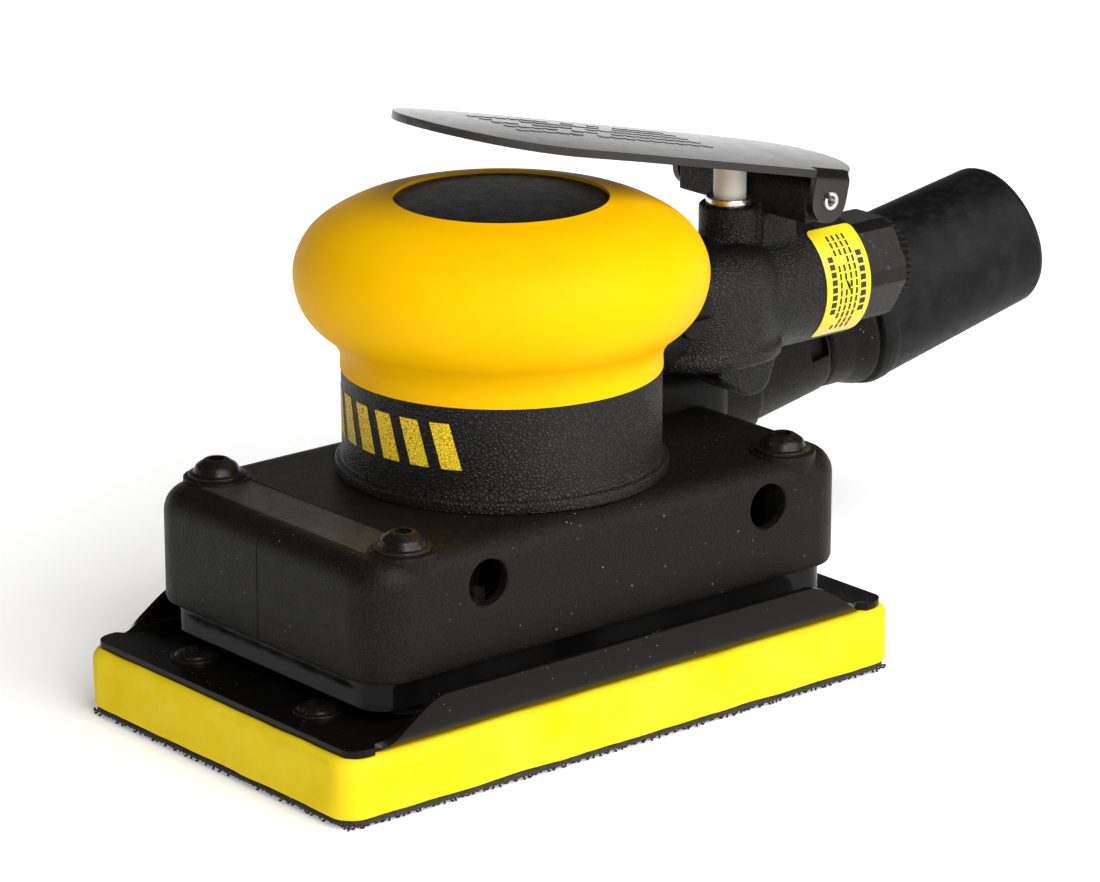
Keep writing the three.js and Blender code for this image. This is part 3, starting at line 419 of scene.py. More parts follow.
def outline(length, width, corner, inset=0.0, step=3.0, turns=6):
    """Points round a rounded rectangle; their number doesn't change with the inset."""
    a, b = length / 2 - corner, width / 2 - corner
    radius = max(corner - inset, 0.05)
    a, b = a - max(inset + 0.05 - corner, 0), b - max(inset + 0.05 - corner, 0)
    starts = [(a, -b, -90), (a, b, 0), (-a, b, 90), (-a, -b, 180)]
    points = []
    for (x, y, turn), nearby, side in zip(starts, starts[1:] + starts[:1], [width, length] * 2):
        bend = [Vector((x + radius * math.cos(t), y + radius * math.sin(t)))
                for t in arc(turn, turn + 90, turns)]
        t = math.radians(nearby[2])
        goal = Vector((nearby[0] + radius * math.cos(t), nearby[1] + radius * math.sin(t)))
        count = max(2, round((side - 2 * corner) / step))
        points += bend + [bend[-1].lerp(goal, i / count) for i in range(1, count)]
    return points


def stacked(length, width, corner, levels, centre=(0, 0), step=3.0, turns=6, closed=False):
    """Rounded rectangles one on another, as (height, inset), with flat ends unless it is a loop."""
    if not closed:
        levels = [(levels[0][0], levels[0][1] + 0.6), *levels, (levels[-1][0], levels[-1][1] + 0.6)]
    points, rings = [], []
    for height, inset in levels:
        ring = outline(length, width, corner, inset, step, turns)
        rings.append(list(range(len(points), len(points) + len(ring))))
        points += [Vector((p.x + centre[0], p.y + centre[1], height)) for p in ring]
    faces = bridged(rings, closed)
    if not closed:
        faces += [rings[0][::-1], rings[-1]]
    return points, faces


def prism(path, low, high, place=None):
    """A closed outline of (x, y) raised from low to high."""
    count = len(path)
    points = [Vector((p[0], p[1], z)) for z in (low, high) for p in path]
    rings = [list(range(count)), list(range(count, 2 * count))]
    return moved((points, bridged(rings) + [rings[0][::-1], rings[1]]), place or Matrix())


def box_shape(low, high):
    path = [(low[0], low[1]), (high[0], low[1]), (high[0], high[1]), (low[0], high[1])]
    return prism(path, low[2], high[2])


def cylinder(radius, low, high, steps=48, place=None):
    return turned([(0, low), (radius, low), (radius, high), (0, high)], steps, place=place)


def rolled(top, edge, steps, start=5, shift=0.0):
    """The levels, as (height, inset), of a rounded upper edge."""
    return [(top - edge * (1 - math.sin(a)), edge * (1 - math.cos(a)) + shift)
            for a in arc(start, 90, steps)]


def along_x(x=0, y=0, z=0):
    """Turns a shape made along Z to lie along X from the given point."""
    return Matrix.Translation((x, y, z)) @ Matrix.Rotation(math.radians(90), 4, "Y")


def along_y(x=0, y=0, z=0):
    """Turns a shape made along Z to lie along Y, towards +Y, from the given point."""
    return Matrix.Translation((x, y, z)) @ Matrix.Rotation(math.radians(-90), 4, "X")


def along_z(x=0, y=0):
    """Moves a shape made along Z to the given point of the floor."""
    return Matrix.Translation((x, y, 0))


def to_front(x=0, z=0):
    """Turns a shape made along Z to lie along Y, towards -Y, from the given point."""
    return Matrix.Translation((x, 0, z)) @ Matrix.Rotation(math.radians(90), 4, "X")


# ---------- objects ----------
def made(name, *shapes):
    points, faces = [], []
    for some_points, some_faces in shapes:
        faces += [[len(points) + i for i in face] for face in some_faces]
        points += some_points
    mesh = bpy.data.meshes.new(name)
    mesh.from_pydata(points, [], faces)
    work = bmesh.new()
    work.from_mesh(mesh)
    bmesh.ops.remove_doubles(work, verts=work.verts, dist=1e-4)
    bmesh.ops.recalc_face_normals(work, faces=work.faces)
    work.to_mesh(mesh)
    work.free()
    piece = bpy.data.objects.new(name, mesh)
    bpy.context.scene.collection.objects.link(piece)
    return piece


def settled(piece):
    """Makes what the modifiers show the piece's own mesh."""
    bpy.context.view_layer.update()
    seen = piece.evaluated_get(bpy.context.evaluated_depsgraph_get())
    mesh = bpy.data.meshes.new_from_object(seen)
    piece.modifiers.clear()
    old, piece.data = piece.data, mesh
    bpy.data.meshes.remove(old)
    return piece


def modified(piece, kind, **settings):
    change = piece.modifiers.new(kind.lower(), kind)
    for key, value in settings.items():
        setattr(change, key, value)
    return piece


def combined(piece, shapes, operation):
    for shape in shapes:
        tool = made("tool", shape)
        modified(piece, "BOOLEAN", operation=operation, object=tool, solver="EXACT")
        settled(piece)
        bpy.data.objects.remove(tool)
    return piece


def joined(piece, *shapes):
    return combined(piece, shapes, "UNION")


def cut(piece, *shapes):
    return combined(piece, shapes, "DIFFERENCE")


def fused(piece, grain=0.5, rounds=6):
    """One skin over shapes that overlap, with the soft inner corners of a casting."""
    modified(piece, "REMESH", mode="VOXEL", voxel_size=grain)
    modified(piece, "SMOOTH", factor=0.5, iterations=rounds)
    return settled(piece)


def bevelled(piece, width=0.3, segments=2, angle=35):
    modified(piece, "BEVEL", width=width, segments=segments, limit_method="ANGLE",
             angle_limit=math.radians(angle), harden_normals=False)
    return settled(piece)


def uneven(piece, depth, size, shift=0.0):
    """Moves each point a little in or out, as a soft moulding is never quite straight."""
    mesh = piece.data
    normals = [v.normal.copy() for v in mesh.vertices]
    for vertex, normal in zip(mesh.vertices, normals):
        vertex.co += normal * depth * noise.noise(vertex.co / size + Vector((shift, 0, 0)))
    return piece


def finished(piece, finish, body, replaces=(), sharp=32):
    """Brings a piece to metres, gives it its finish and puts it on its body."""
    piece.data.transform(Matrix.Scale(MM, 4))
    piece.data.materials.clear()
    piece.data.materials.append(finish)
    piece.data.shade_smooth()
    piece.data.set_sharp_from_angle(angle=math.radians(sharp))
    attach(piece, body)
    if replaces:
        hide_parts(*replaces)
    return piece


def numbered(stem, count=4):
    return [f"{stem}_{i + 1}" for i in range(count)]


# ---------- trees for what repeats ----------
class Tree:
    """A Geometry Nodes tree with named inputs, ending in real geometry with its finish set."""

    def __init__(self, name, **inputs):
        self.tree = bpy.data.node_groups.new(name, "GeometryNodeTree")
        kinds = {float: "NodeSocketFloat", int: "NodeSocketInt", bpy.types.Object: "NodeSocketObject",
                 bpy.types.Material: "NodeSocketMaterial", tuple: "NodeSocketVector"}
        self.values, self.sockets = inputs, {}
        for key, value in inputs.items():
            socket = self.tree.interface.new_socket(key, in_out="INPUT", socket_type=kinds[type(value)])
            self.sockets[key] = socket.identifier
        self.tree.interface.new_socket("Geometry", in_out="OUTPUT", socket_type="NodeSocketGeometry")
        self.start = self.tree.nodes.new("NodeGroupInput")

    def given(self, key):
        return self.start.outputs[key]

    def add(self, kind, inputs=None, output=0, **settings):
        return grafted(self.tree, kind, inputs, output, **settings)

    def math(self, operation, first, second=0.0):
        return self.add("ShaderNodeMath", {0: first, 1: second}, operation=operation)

    def grid(self, *sizes):
        """A flat grid from its two sizes and two counts; a word stands for the input it names."""
        names = "Size X", "Size Y", "Vertices X", "Vertices Y"
        return self.add("GeometryNodeMeshGrid", {name: self.given(size) if isinstance(size, str) else size
                                                 for name, size in zip(names, sizes)})

    def placed(self, points, shape, **more):
        return self.add("GeometryNodeInstanceOnPoints", {"Points": points, "Instance": shape, **more})

    def random_turn(self, low, high):
        return self.add("FunctionNodeRandomValue", {"Min": low, "Max": high, "Seed": self.given("seed")},
                        data_type="FLOAT_VECTOR")

    def grown(self, name, geometry):
        """The plain mesh that the tree makes, as a new piece."""
        real = self.add("GeometryNodeRealizeInstances", {"Geometry": geometry})
        coloured = self.add("GeometryNodeSetMaterial", {"Geometry": real, "Material": self.given("finish")})
        end = self.tree.nodes.new("NodeGroupOutput")
        self.tree.links.new(coloured, end.inputs["Geometry"])
        piece = made(name)
        change = modified(piece, "NODES").modifiers[0]
        change.node_group = self.tree
        for key, identifier in self.sockets.items():
            change[identifier] = self.values[key]
        return settled(piece)


# ---------- pad ----------
def pad_foam(finish):
    low, high, centre = extent("foam_pad")
    size, edge = high - low, 1.7
    levels = [(low.z, 0.5), (low.z + 0.25, 0.12), (low.z + 0.7, 0)]
    levels += [(low.z + 0.7 + (size.z - 0.7 - edge) * i / 8, 0) for i in range(1, 9)]
    levels += rolled(high.z, edge, 5, 15)
    piece = made("pad_foam", stacked(size.x, size.y, 5.2, levels, centre, step=2, turns=8))
    uneven(piece, 0.22, 9)
    uneven(piece, 0.08, 2.5, 40)
    finished(piece, finish, "pad", ["foam_pad"], sharp=60)


HOOK_LENGTH = 0.8


def hook_backing(finish):
    low, high, centre = extent("hook_face")
    levels = [(low.z + HOOK_LENGTH, 0.1), (low.z + HOOK_LENGTH + 0.3, -0.25), (high.z - 0.2, -0.2),
              (high.z + 0.2, 0.1)]
    piece = made("hook_backing", stacked(high.x - low.x, high.y - low.y, 5, levels, centre, step=1))
    uneven(piece, 0.2, 0.9)
    finished(piece, finish, "pad", ["hook_face"])


def pad_hooks(finish):
    """The field of small plastic hooks under the pad, which also shows as a ragged edge."""
    low, high, centre = extent("hook_face")
    t = Tree("hook_field", length=high.x - low.x - 1.7, width=high.y - low.y - 1.7, pitch=1.12,
             tall=HOOK_LENGTH + 0.15, thick=0.24, seed=7, centre=(centre.x, centre.y, low.z), finish=finish)
    count_x = t.math("DIVIDE", t.given("length"), t.given("pitch"))
    count_y = t.math("DIVIDE", t.given("width"), t.given("pitch"))
    field = t.grid("length", "width", count_x, count_y)
    field = t.add("GeometryNodeTransform", {"Geometry": field, "Translation": t.given("centre")})
    top = t.add("ShaderNodeCombineXYZ", {"Z": t.given("tall")})
    bow = t.add("ShaderNodeCombineXYZ", {"X": t.math("MULTIPLY", t.given("tall"), 0.75), "Z": 0.25})
    hook = t.add("GeometryNodeCurveQuadraticBezier", {"Resolution": 3, "Start": top, "Middle": (0, 0, 0),
                                                      "End": bow})
    round_wire = t.add("GeometryNodeCurvePrimitiveCircle", {"Resolution": 3, "Radius": t.given("thick")})
    wire = t.add("GeometryNodeCurveToMesh", {"Curve": hook, "Profile Curve": round_wire,
                                             "Fill Caps": True})
    hooks = t.placed(field, wire, Rotation=t.random_turn((-0.1, -0.1, 0), (0.1, 0.1, 6.283)))
    finished(t.grown("pad_hooks", hooks), finish, "pad")


def backing_plate(finish):
    """A pressed sheet whose long sides turn up, dropping in a curve towards its round-cornered ends."""
    low, high, centre = extent("backing_plate")
    sheet, corner, bend, ramp = 1.4, 4, 1.9, 16
    bottom = corners("foam_pad")[1].z + 0.1
    length, width, rise = (high.x - low.x) / 2, (high.y - low.y) / 2, high.z - bottom - sheet / 2
    flange_end = 59.5
    xs = [-length, *[-length + corner * (i / 8) ** 2 for i in range(1, 9)], -flange_end]
    xs += [-flange_end + ramp * i / 16 for i in range(1, 17)] + [-30, -15]
    xs = xs + [0] + [-x for x in reversed(xs)]
    points, rows = [], []
    for x in xs:
        t = min(max((flange_end - abs(x)) / ramp, 0), 1)
        tall = rise * t * t * (3 - 2 * t)
        past = max(0, abs(x) - (length - corner)) / corner
        edge = width - sheet / 2 - bend - (corner - bend / 2) * (1 - math.sqrt(1 - past ** 2))
        if tall < bend:
            a = math.acos(1 - tall / bend)
            flank = [(edge + bend * math.sin(a * k / 6), bend * (1 - math.cos(a * k / 6)))
                     for k in range(7)]
            flank.append(flank[-1])
        else:
            flank = [(edge + bend * math.sin(a), bend * (1 - math.cos(a))) for a in arc(0, 90, 6)]
            flank.append((edge + bend, tall))
        if abs(x) >= flange_end:
            flank = [(edge + bend * k / 7, 0) for k in range(8)]
        flat = [(edge * k / 4, 0) for k in range(4)]
        half = flat + flank
        line = [(-y, z) for y, z in reversed(half[1:])] + half
        rows.append(range(len(points), len(points) + len(line)))
        points += [Vector((x + centre.x, y + centre.y, z + bottom + sheet / 2)) for y, z in line]
    faces = [[a[i], b[i], b[i + 1], a[i + 1]] for a, b in zip(rows, rows[1:]) for i in range(len(a) - 1)]
    piece = made("pressed_backing_plate", (points, faces))
    modified(piece, "SOLIDIFY", thickness=sheet, offset=0, use_even_offset=True)
    settled(piece)
    bevelled(piece, 0.35, 3, 50)
    finished(piece, finish, "pad", ["backing_plate"])


def screw_head(name, radius, height, flange, recess, lobes, deep):
    """A domed head on a thin flange, with a driver recess, standing on the origin."""
    dome = eased([(0, -0.3), (radius, -0.3), (radius, flange, 0.2), (radius * 0.83, flange + 0.15, 0.3),
                  (radius * 0.74, flange + (height - flange) * 0.55, 1.2),
                  (radius * 0.42, height, 0.8), (0, height)], 0.15, 5)
    head = made(name, turned(dome, 40))
    reach = [recess * 0.8, recess] * 6 if lobes == 6 else [recess] * 6
    star = [(r * math.cos(i * 2 * math.pi / len(reach)), r * math.sin(i * 2 * math.pi / len(reach)))
            for i, r in enumerate(reach)]
    return cut(head, prism(eased(star, 0.15, 2, closed=True), height - deep, height + 1))


def screws(name, nodes, head, finish, body, level):
    """One screw head on each corner of a rectangle, each turned its own way."""
    spots = [middle(node) for node in nodes]
    centre = sum(spots, Vector()) / len(spots)
    t = Tree(name + "_pattern", spread_x=2 * abs(spots[0].x - centre.x),
             spread_y=2 * abs(spots[0].y - centre.y), centre=(centre.x, centre.y, level), head=head,
             seed=5, finish=finish)
    grid = t.grid("spread_x", "spread_y", 2, 2)
    spots = t.add("GeometryNodeTransform", {"Geometry": grid, "Translation": t.given("centre")})
    one = t.add("GeometryNodeObjectInfo", {"Object": t.given("head")}, output="Geometry")
    piece = t.grown(name, t.placed(spots, one, Rotation=t.random_turn((0, 0, 0), (0, 0, 6.283))))
    bpy.data.objects.remove(head)
    finished(piece, finish, body, nodes)


# ---------- shroud ----------
SHROUD_EDGE, SHROUD_CORNER, SHROUD_WALL = 5, 8.5, 2.2


def shroud_sizes():
    low, high = corners("dust_shroud")
    seat = 0.3
    return low, Vector((high.x, high.y, high.z - seat)), high - low


def dust_shroud(finish):
    low, high, size = shroud_sizes()
    ceiling = high.z - SHROUD_WALL
    levels = [(ceiling, SHROUD_WALL), (low.z + 0.3, SHROUD_WALL), (low.z, SHROUD_WALL - 0.5), (low.z, 1.1),
              (low.z + 0.35, 0.35), (low.z + 1.2, 0), (low.z + 9, 0), (high.z - SHROUD_EDGE, 0)]
    levels += rolled(high.z, SHROUD_EDGE, 7, 11.25)
    piece = made("dust_shroud_shell", stacked(size.x, size.y, SHROUD_CORNER, levels, step=4, turns=12))
    seats = []
    for node in numbered("shroud_screw"):
        spot = middle(node)
        seats.append(turned(eased([(0, ceiling - 1), (6.3, ceiling - 1), (6.3, high.z + 0.35),
                                   (0, high.z + 0.35)], 0.25), 48,
                            place=along_z(spot.x, spot.y)))
    joined(piece, *seats)
    bleed_x, bleed_z, bleed = (-31.3, 36.3), high.z - 7.5, 4.4
    mouth = size.y / 2
    for x in bleed_x:
        flared = turned([(0, -mouth - 2), (bleed + 2.3, -mouth - 2), (bleed, -mouth + 0.3),
                         (bleed, mouth - 0.3), (bleed + 2.3, mouth + 2), (0, mouth + 2)], 48,
                        place=along_y(x, 0, bleed_z))
        cut(piece, flared)
    cut(piece, moulding_seam(low, high, size))
    cut(piece, *[inlay_shape(side, 0.3, 0.1) for side in (-1, 1)])
    cut(piece, cylinder(28, ceiling - 1, high.z + 1, 96))
    finished(piece, finish, "housing", ["dust_shroud"], sharp=25)


def moulding_seam(low, high, size):
    """A hairline up the middle of the front and back along the top to the neck."""
    half, depth = size.x / 2, 0.22
    inner = [(-half + depth, low.z - 1), (-half + depth, high.z - SHROUD_EDGE)]
    bend = SHROUD_EDGE - depth
    inner += [(-half + SHROUD_EDGE - bend * math.cos(a), high.z - SHROUD_EDGE + bend * math.sin(a))
              for a in arc(0, 90, 8)]
    outer = [(-30, high.z - depth), (-30, high.z + 1), (-half - 1, high.z + 1), (-half - 1, low.z - 1)]
    return prism([*inner, *outer], -0.11, 0.11, to_front())


def inlay_shape(side, depth, proud):
    """A smooth strip let into the shroud's top between its middle and a front screw."""
    high, size = shroud_sizes()[1:]
    screw = middle("shroud_screw_1")
    start, end = 0.1, abs(screw.y) - 3.2
    front = -size.x / 2 + SHROUD_EDGE + 0.4
    path = [(front, side * start), (front + 10.2, side * start), (front + 10.2, side * end),
            (front, side * end)]
    return prism(path, high.z - depth, high.z + proud)


def shroud_inlays(finish):
    shapes, slack = [], 0.08
    for side in (-1, 1):
        points, faces = inlay_shape(side, 0.3, -0.09)
        heart = sum(points, Vector()) / len(points)
        points = [Vector((p.x + math.copysign(slack, heart.x - p.x),
                          p.y + math.copysign(slack, heart.y - p.y), p.z)) for p in points]
        shapes.append((points, faces))
    piece = bevelled(made("shroud_inlays", *shapes), 0.04, 1)
    finished(piece, finish, "housing")


def smoked_skirt(finish):
    low, high = corners("skirt")
    size, wall = high - low, 0.8
    levels = [(low.z, 0.25), (low.z + 0.25, -0.12), (low.z + 0.6, -0.12), (low.z + 0.9, 0.02),
              (low.z + 4, -0.04), (high.z, 0), (high.z, wall), (low.z + 1, wall), (low.z, wall - 0.2)]
    piece = made("smoked_skirt", stacked(size.x, size.y, 6, levels, turns=10, closed=True))
    finished(piece, finish, "housing", ["skirt"], sharp=50)


# ---------- motor housing ----------
NECK_RADIUS, BARREL_RADIUS = 29.95, 12.3
VALVE_BODY = 31, 29.4, 13  # length, width and corner radius
VALVE_TOP, VALVE_BACK = 79.5, 8.8


def motor_housing(finish):
    foot, shoulder = shroud_sizes()[1].z + 0.05, corners("palm_grip")[0].z
    outside = [(24.3, foot - 6), (26.6, foot - 6), (26.6, foot), (31.25, foot, 0.3),
               (31.25, foot + 2.1, 0.7), (NECK_RADIUS + 0.15, foot + 2.5, 0.5), (NECK_RADIUS, foot + 4),
               (NECK_RADIUS, shoulder - 0.05, 0.3), (28.2, shoulder - 0.05), (28.2, 84, 1), (22.8, 91, 1),
               (19.2, 94.3, 0.5), (0, 94.3)]
    inside = [(0, 92), (14, 92), (24.3, 84.6)]
    profile = eased([*outside, *inside], 0.2, 4)
    piece = made("motor_housing", turned([*profile, profile[0]], 128))
    finished(piece, finish, "housing", ["body_casting"], sharp=40)


def handle_casting(finish):
    """The inlet barrel, valve body, lever lug and duct lug, flowing into each other as one casting."""
    bush, pivot = middle("valve_bush"), Vector(JOINTS["lever_press"]["pos_m"]) / MM
    plug, end = middle("inlet_plug"), corners("body_casting")[1].x
    body_x = bush.x - VALVE_BACK
    barrel = turned(eased([(0, 26), (BARREL_RADIUS, 26), (BARREL_RADIUS, end), (0, end)], 0.5), 96,
                    place=along_x(0, 0, plug.z))
    body = stacked(*VALVE_BODY, [(58, 0), (71, 0), *rolled(VALVE_TOP, 8, 10)], (body_x, 0), turns=12)
    rim = stacked(33, 31.4, 14, [(58, 0.9), (58.5, 0.2), (60.4, 0), (61.2, 0.9)], (body_x, 0), turns=12)
    boss = turned(eased([(0, plug.z), (6.9, plug.z), (6, 78, 3), (6, bush.z - 0.75), (0, bush.z - 0.75)],
                        0.7), 64, place=along_z(bush.x))
    lug_radius, reach = 4.4, 18.2
    bar = turned(eased([(0, -reach), (lug_radius, -reach), (lug_radius, reach), (0, reach)], 0.4), 48,
                 place=along_y(pivot.x, 0, pivot.z))
    fore, aft = pivot.x - lug_radius, pivot.x + lug_radius
    web = box_shape((fore, -18, pivot.z - 4.3), (aft, 18, pivot.z))
    foot = box_shape((fore, -6.5, plug.z), (aft, 6.5, pivot.z - 1))
    left, right, top = body_x - 0.6, body_x + 14.4, 60
    tongue = eased([(left, top), (left, top - 6, 1), (left + 7.4, top - 10.8, 4),
                    (right - 2.4, top - 10.4, 4), (right, top - 4, 2), (right, top)], 1, 6)
    lug = prism(tongue, -3, 8, to_front())
    piece = fused(made("handle_casting", barrel, body, rim, boss, bar, web, foot, lug), 0.45, 5)
    dial = middle("speed_dial")
    cut(piece, turned(eased([(0, 12.3), (4.7, 12.3), (5, 22), (0, 22)], 0.3), 48,
                      place=to_front(dial.x, dial.z)),
        cylinder(3.6, 61, 95, place=along_z(bush.x)),
        cylinder(7.5, end - 11, end + 1, place=along_x(0, 0, plug.z)), cylinder(24.35, 10, 120, 96))
    finished(piece, finish, "housing", sharp=50)


def palm_grip(finish):
    low, high = corners("palm_grip")
    widest, bottom, top = high.x, low.z - 0.2, high.z
    outside = flowing([(30.1, bottom), (30.2, bottom + 3.2), (32, 71), (35.2, 73.8), (37.5, 77.2),
                       (widest, 81.8), (38, 86), (35.7, 90), (31.8, 93), (26.5, 95.4), (20.05, top)], 8)
    inside = [(20.05, 94.2), (19.4, 94.4), (22.9, 91.2), (28.3, 84), (28.3, bottom)]
    profile = [(p.x, p.y) for p in outside] + inside
    piece = made("palm_grip_rubber", turned(profile, 160, closed=True))
    dial, plug, bush = middle("speed_dial"), middle("inlet_plug"), middle("valve_bush")
    dome = [(50, -0.2), (71, -0.2), *rolled(VALVE_TOP + 0.2, 8, 8, shift=-0.2)]
    cut(piece, cylinder(BARREL_RADIUS + 0.2, 20, 90, 64, along_x(0, 0, plug.z)),
        stacked(*VALVE_BODY, dome, (bush.x - VALVE_BACK, 0), turns=10),
        cylinder(4.8, 12.5, 45, 40, to_front(dial.x, dial.z)))
    finished(piece, finish, "housing", ["palm_grip"], sharp=50)


def top_cap(finish):
    low, high = corners("top_cap")
    radius = high.x + 0.25
    crown = [(radius * k / 8, high.z - 0.9 * (k / 8) ** 2.5) for k in range(9)]
    profile = [(0, low.z), (radius - 0.2, low.z), (radius, low.z + 0.3), *reversed(crown)]
    piece = made("grained_top_cap", turned(profile, 128))
    uneven(piece, 0.05, 4)
    finished(piece, finish, "housing", ["top_cap"], sharp=40)


# ---------- dust outlet ----------
OUTLET_MOUTH = 103.9, 20, 51.3


def on_outlet():
    """Where the dust outlet's mouth is, with Z along its own axis."""
    joint = JOINTS["hose_turn"]
    axis = Vector(joint["axis"])
    mouth = Vector(OUTLET_MOUTH)
    side = Vector((0, 0, 1)).cross(axis).normalized()
    up = axis.cross(side)
    turn = Matrix((side, up, axis)).transposed().to_4x4()
    return Matrix.Translation(mouth) @ turn


def exhaust_duct(finish):
    low, high, size = shroud_sizes()
    place = on_outlet()
    pipe, collar = cylinder(13.5, -46, -30, 64, place), cylinder(12.4, -31, -11, 64, place)
    cowl = stacked(34, 17, 6, [(high.z - 4, 0), (49, 0), *rolled(54, 5, 6)], (47, 12.6), turns=8)
    piece = fused(made("exhaust_duct_moulding", pipe, collar, cowl), 0.5, 4)
    snap = moved(box_shape((-14, -1.5, -16.2), (-9.9, 3.5, -11.8)), place)
    cut(piece, cylinder(10.9, -52, -5, 64, place), snap, cylinder(NECK_RADIUS + 0.1, 30, 80, 128),
        box_shape((0, -8, 57.8), (95, 60, 75)),
        stacked(size.x + 0.1, size.y + 0.1, SHROUD_CORNER,
                [(low.z - 2, 0), (high.z - SHROUD_EDGE, 0), (high.z + 0.05, SHROUD_EDGE)], turns=8))
    finished(piece, finish, "housing", ["exhaust_duct"], sharp=45)


def swivel_tube(finish):
    profile = [(9.3, -27.5), (10.6, -27.5), (10.6, -10.7), (11.7, -10.7, 0.2), (12.3, -10, 0.5),
               (13.2, -5, 4), (15, -1.3, 0.8), (14.9, -0.3, 0.3), (11.6, -0.3), (11.6, 18), (9.3, 18)]
    piece = made("swivel_sleeve", turned(eased(profile, 0.25, 3, closed=True), 96, closed=True,
                                         place=on_outlet()))
    finished(piece, finish, "hose_swivel", ["swivel_tube"], sharp=40)


def hose_adapter(finish):
    profile = [(12, 0), (14.4, 0, 0.5), (15.7, 0.5, 0.6), (16.1, 1.7, 0.8), (16.1, 3.4, 0.8),
               (15.85, 4.4, 1), (14.95, 43.2, 0.8), (14.3, 44.4, 0.5), (13.3, 44.4, 0.4),
               (13, 43.4), (13, 20), (12, 19)]
    piece = made("rubber_hose_adapter", turned(eased(profile, 0.4, 5, closed=True), 128, closed=True,
                                               place=on_outlet()))
    uneven(piece, 0.12, 12)
    finished(piece, finish, "hose_swivel", ["hose_adapter"], sharp=40)


# ---------- air inlet ----------
def inlet_bushing(finish):
    low, high = corners("inlet_bushing")
    plug = middle("inlet_plug")
    start, across = corners("body_casting")[1].x - 0.05, 20 / math.sqrt(3)
    narrow = 21.5 / math.sqrt(3)
    hexagon, trim = ([(r * math.cos(a), r * math.sin(a)) for a in arc(turn, turn + 360, 6)[:-1]]
                     for r, turn in ((across, 30), (narrow, 0)))
    piece = made("hex_inlet_bushing", prism(hexagon, start, high.x))
    combined(piece, [prism(trim, start - 1, high.x + 1)], "INTERSECT")
    rounding = [(0, start), (across - 1, start), (across + 0.1, start + 1), (across + 0.1, high.x - 1),
                (across - 1, high.x), (0, high.x)]
    combined(piece, [turned(eased(rounding, 0.1), 96)], "INTERSECT")
    bevelled(piece, 0.14, 2, 20)
    joined(piece, cylinder(7.2, low.x, start + 1))
    cut(piece, cylinder(4.6, low.x - 1, high.x + 1))
    piece.data.transform(along_x(0, 0, plug.z))
    finished(piece, finish, "housing", ["inlet_bushing"], sharp=9)


def inlet_plug(finish):
    """A push-in plug with a serrated rim."""
    low, high, place = extent("inlet_plug")
    rim, thick = high.y, 2.6
    start = high.x - thick
    t = Tree("serrated_rim", radius=rim - 0.6, teeth=40, tooth=0.6, thick=thick - 0.1,
             middle=(start + thick / 2, 0.0, place.z), finish=finish)
    ring = t.add("GeometryNodeMeshCircle", {"Vertices": t.given("teeth"), "Radius": t.given("radius")})
    tooth = t.add("GeometryNodeMeshCylinder", {"Vertices": 8, "Radius": t.given("tooth"),
                                               "Depth": t.given("thick")}, output="Mesh")
    rim_ring = t.add("GeometryNodeTransform", {"Geometry": t.placed(ring, tooth),
                                               "Translation": t.given("middle"),
                                               "Rotation": (0, math.radians(90), 0)})
    piece = t.grown("serrated_inlet_plug", rim_ring)
    body = turned(eased([(0, low.x), (4.2, low.x, 0.3), (4.2, start), (rim - 0.55, start, 0.3),
                         (rim - 0.55, high.x, 0.4), (rim - 2, high.x), (rim - 2.6, high.x - 0.5),
                         (0, high.x - 0.5)], 0.1), 64, place=along_x(0, 0, place.z))
    joined(piece, body)
    finished(piece, finish, "plug", ["inlet_plug"], sharp=40)


# ---------- throttle ----------
LEVER_HALF, LEVER_SHEET, LEVER_RISE = 20, 1.5, 6.75
LEVER_TILT = 12.9  # degrees, nose up


def lever_skin(x, y):
    """The middle of the lever's crowned sheet, from its pivot, with the nose drooping a little."""
    droop = 0.8 * min(max((-45 - x) / 44, 0), 1) ** 2
    return Vector((x, y, LEVER_RISE - LEVER_SHEET / 2 - 1.15 * (y / LEVER_HALF) ** 2 - droop))


def lever_place():
    pivot = Vector(JOINTS["lever_press"]["pos_m"]) / MM
    return Matrix.Translation(pivot) @ Matrix.Rotation(math.radians(LEVER_TILT), 4, "Y")


def throttle_lever(finish):
    """A stamped plate with a long oval nose, crowned a little, its two ears bent down at the pivot."""
    half, sheet, nose, front, ear = LEVER_HALF, LEVER_SHEET, 26, 88.5, 4.4
    columns = [(-front + nose * (1 - math.cos(a)), half * math.sin(a)) for a in arc(4, 90, 16)]
    columns += [(-50, half), (-38, half), (-26, half), (-16, half), (-9, half), (-ear - 0.3, half)]
    columns += [(-ear - 0.25, half - 2), (0, half - 2), (ear, half - 2)]
    for k in range(13):
        s = k / 12.4
        columns.append(((1 - s) ** 2 * (ear + 0.3) + 2 * s * (1 - s) * 13.4 + s * s * 13.4,
                        (1 - s) ** 2 * (half - 1.2) + 2 * s * (1 - s) * half * 0.62))
    across = [math.sin(a) for a in arc(-90, 90, 16)]
    rings = []
    for x, wide in columns:
        skin = [lever_skin(x, wide * v) for v in across]
        up = Vector((0, 0, sheet / 2))
        rings.append([p + up for p in skin] + [p - up for p in reversed(skin)])
    points = [p for ring in rings for p in ring]
    count = len(rings[0])
    order = [list(range(i * count, (i + 1) * count)) for i in range(len(rings))]
    piece = made("stamped_throttle_lever", (points, bridged(order) + [order[0][::-1], order[-1]]))
    for side in (-1, 1):
        joined(piece, lever_ear(side, ear))
    cut(piece, cylinder(1.8, -25, 25, 32, along_y()))
    bevelled(piece, 0.3, 3, 50)
    piece.data.transform(lever_place())
    finished(piece, finish, "lever", ["throttle_lever"], sharp=40)


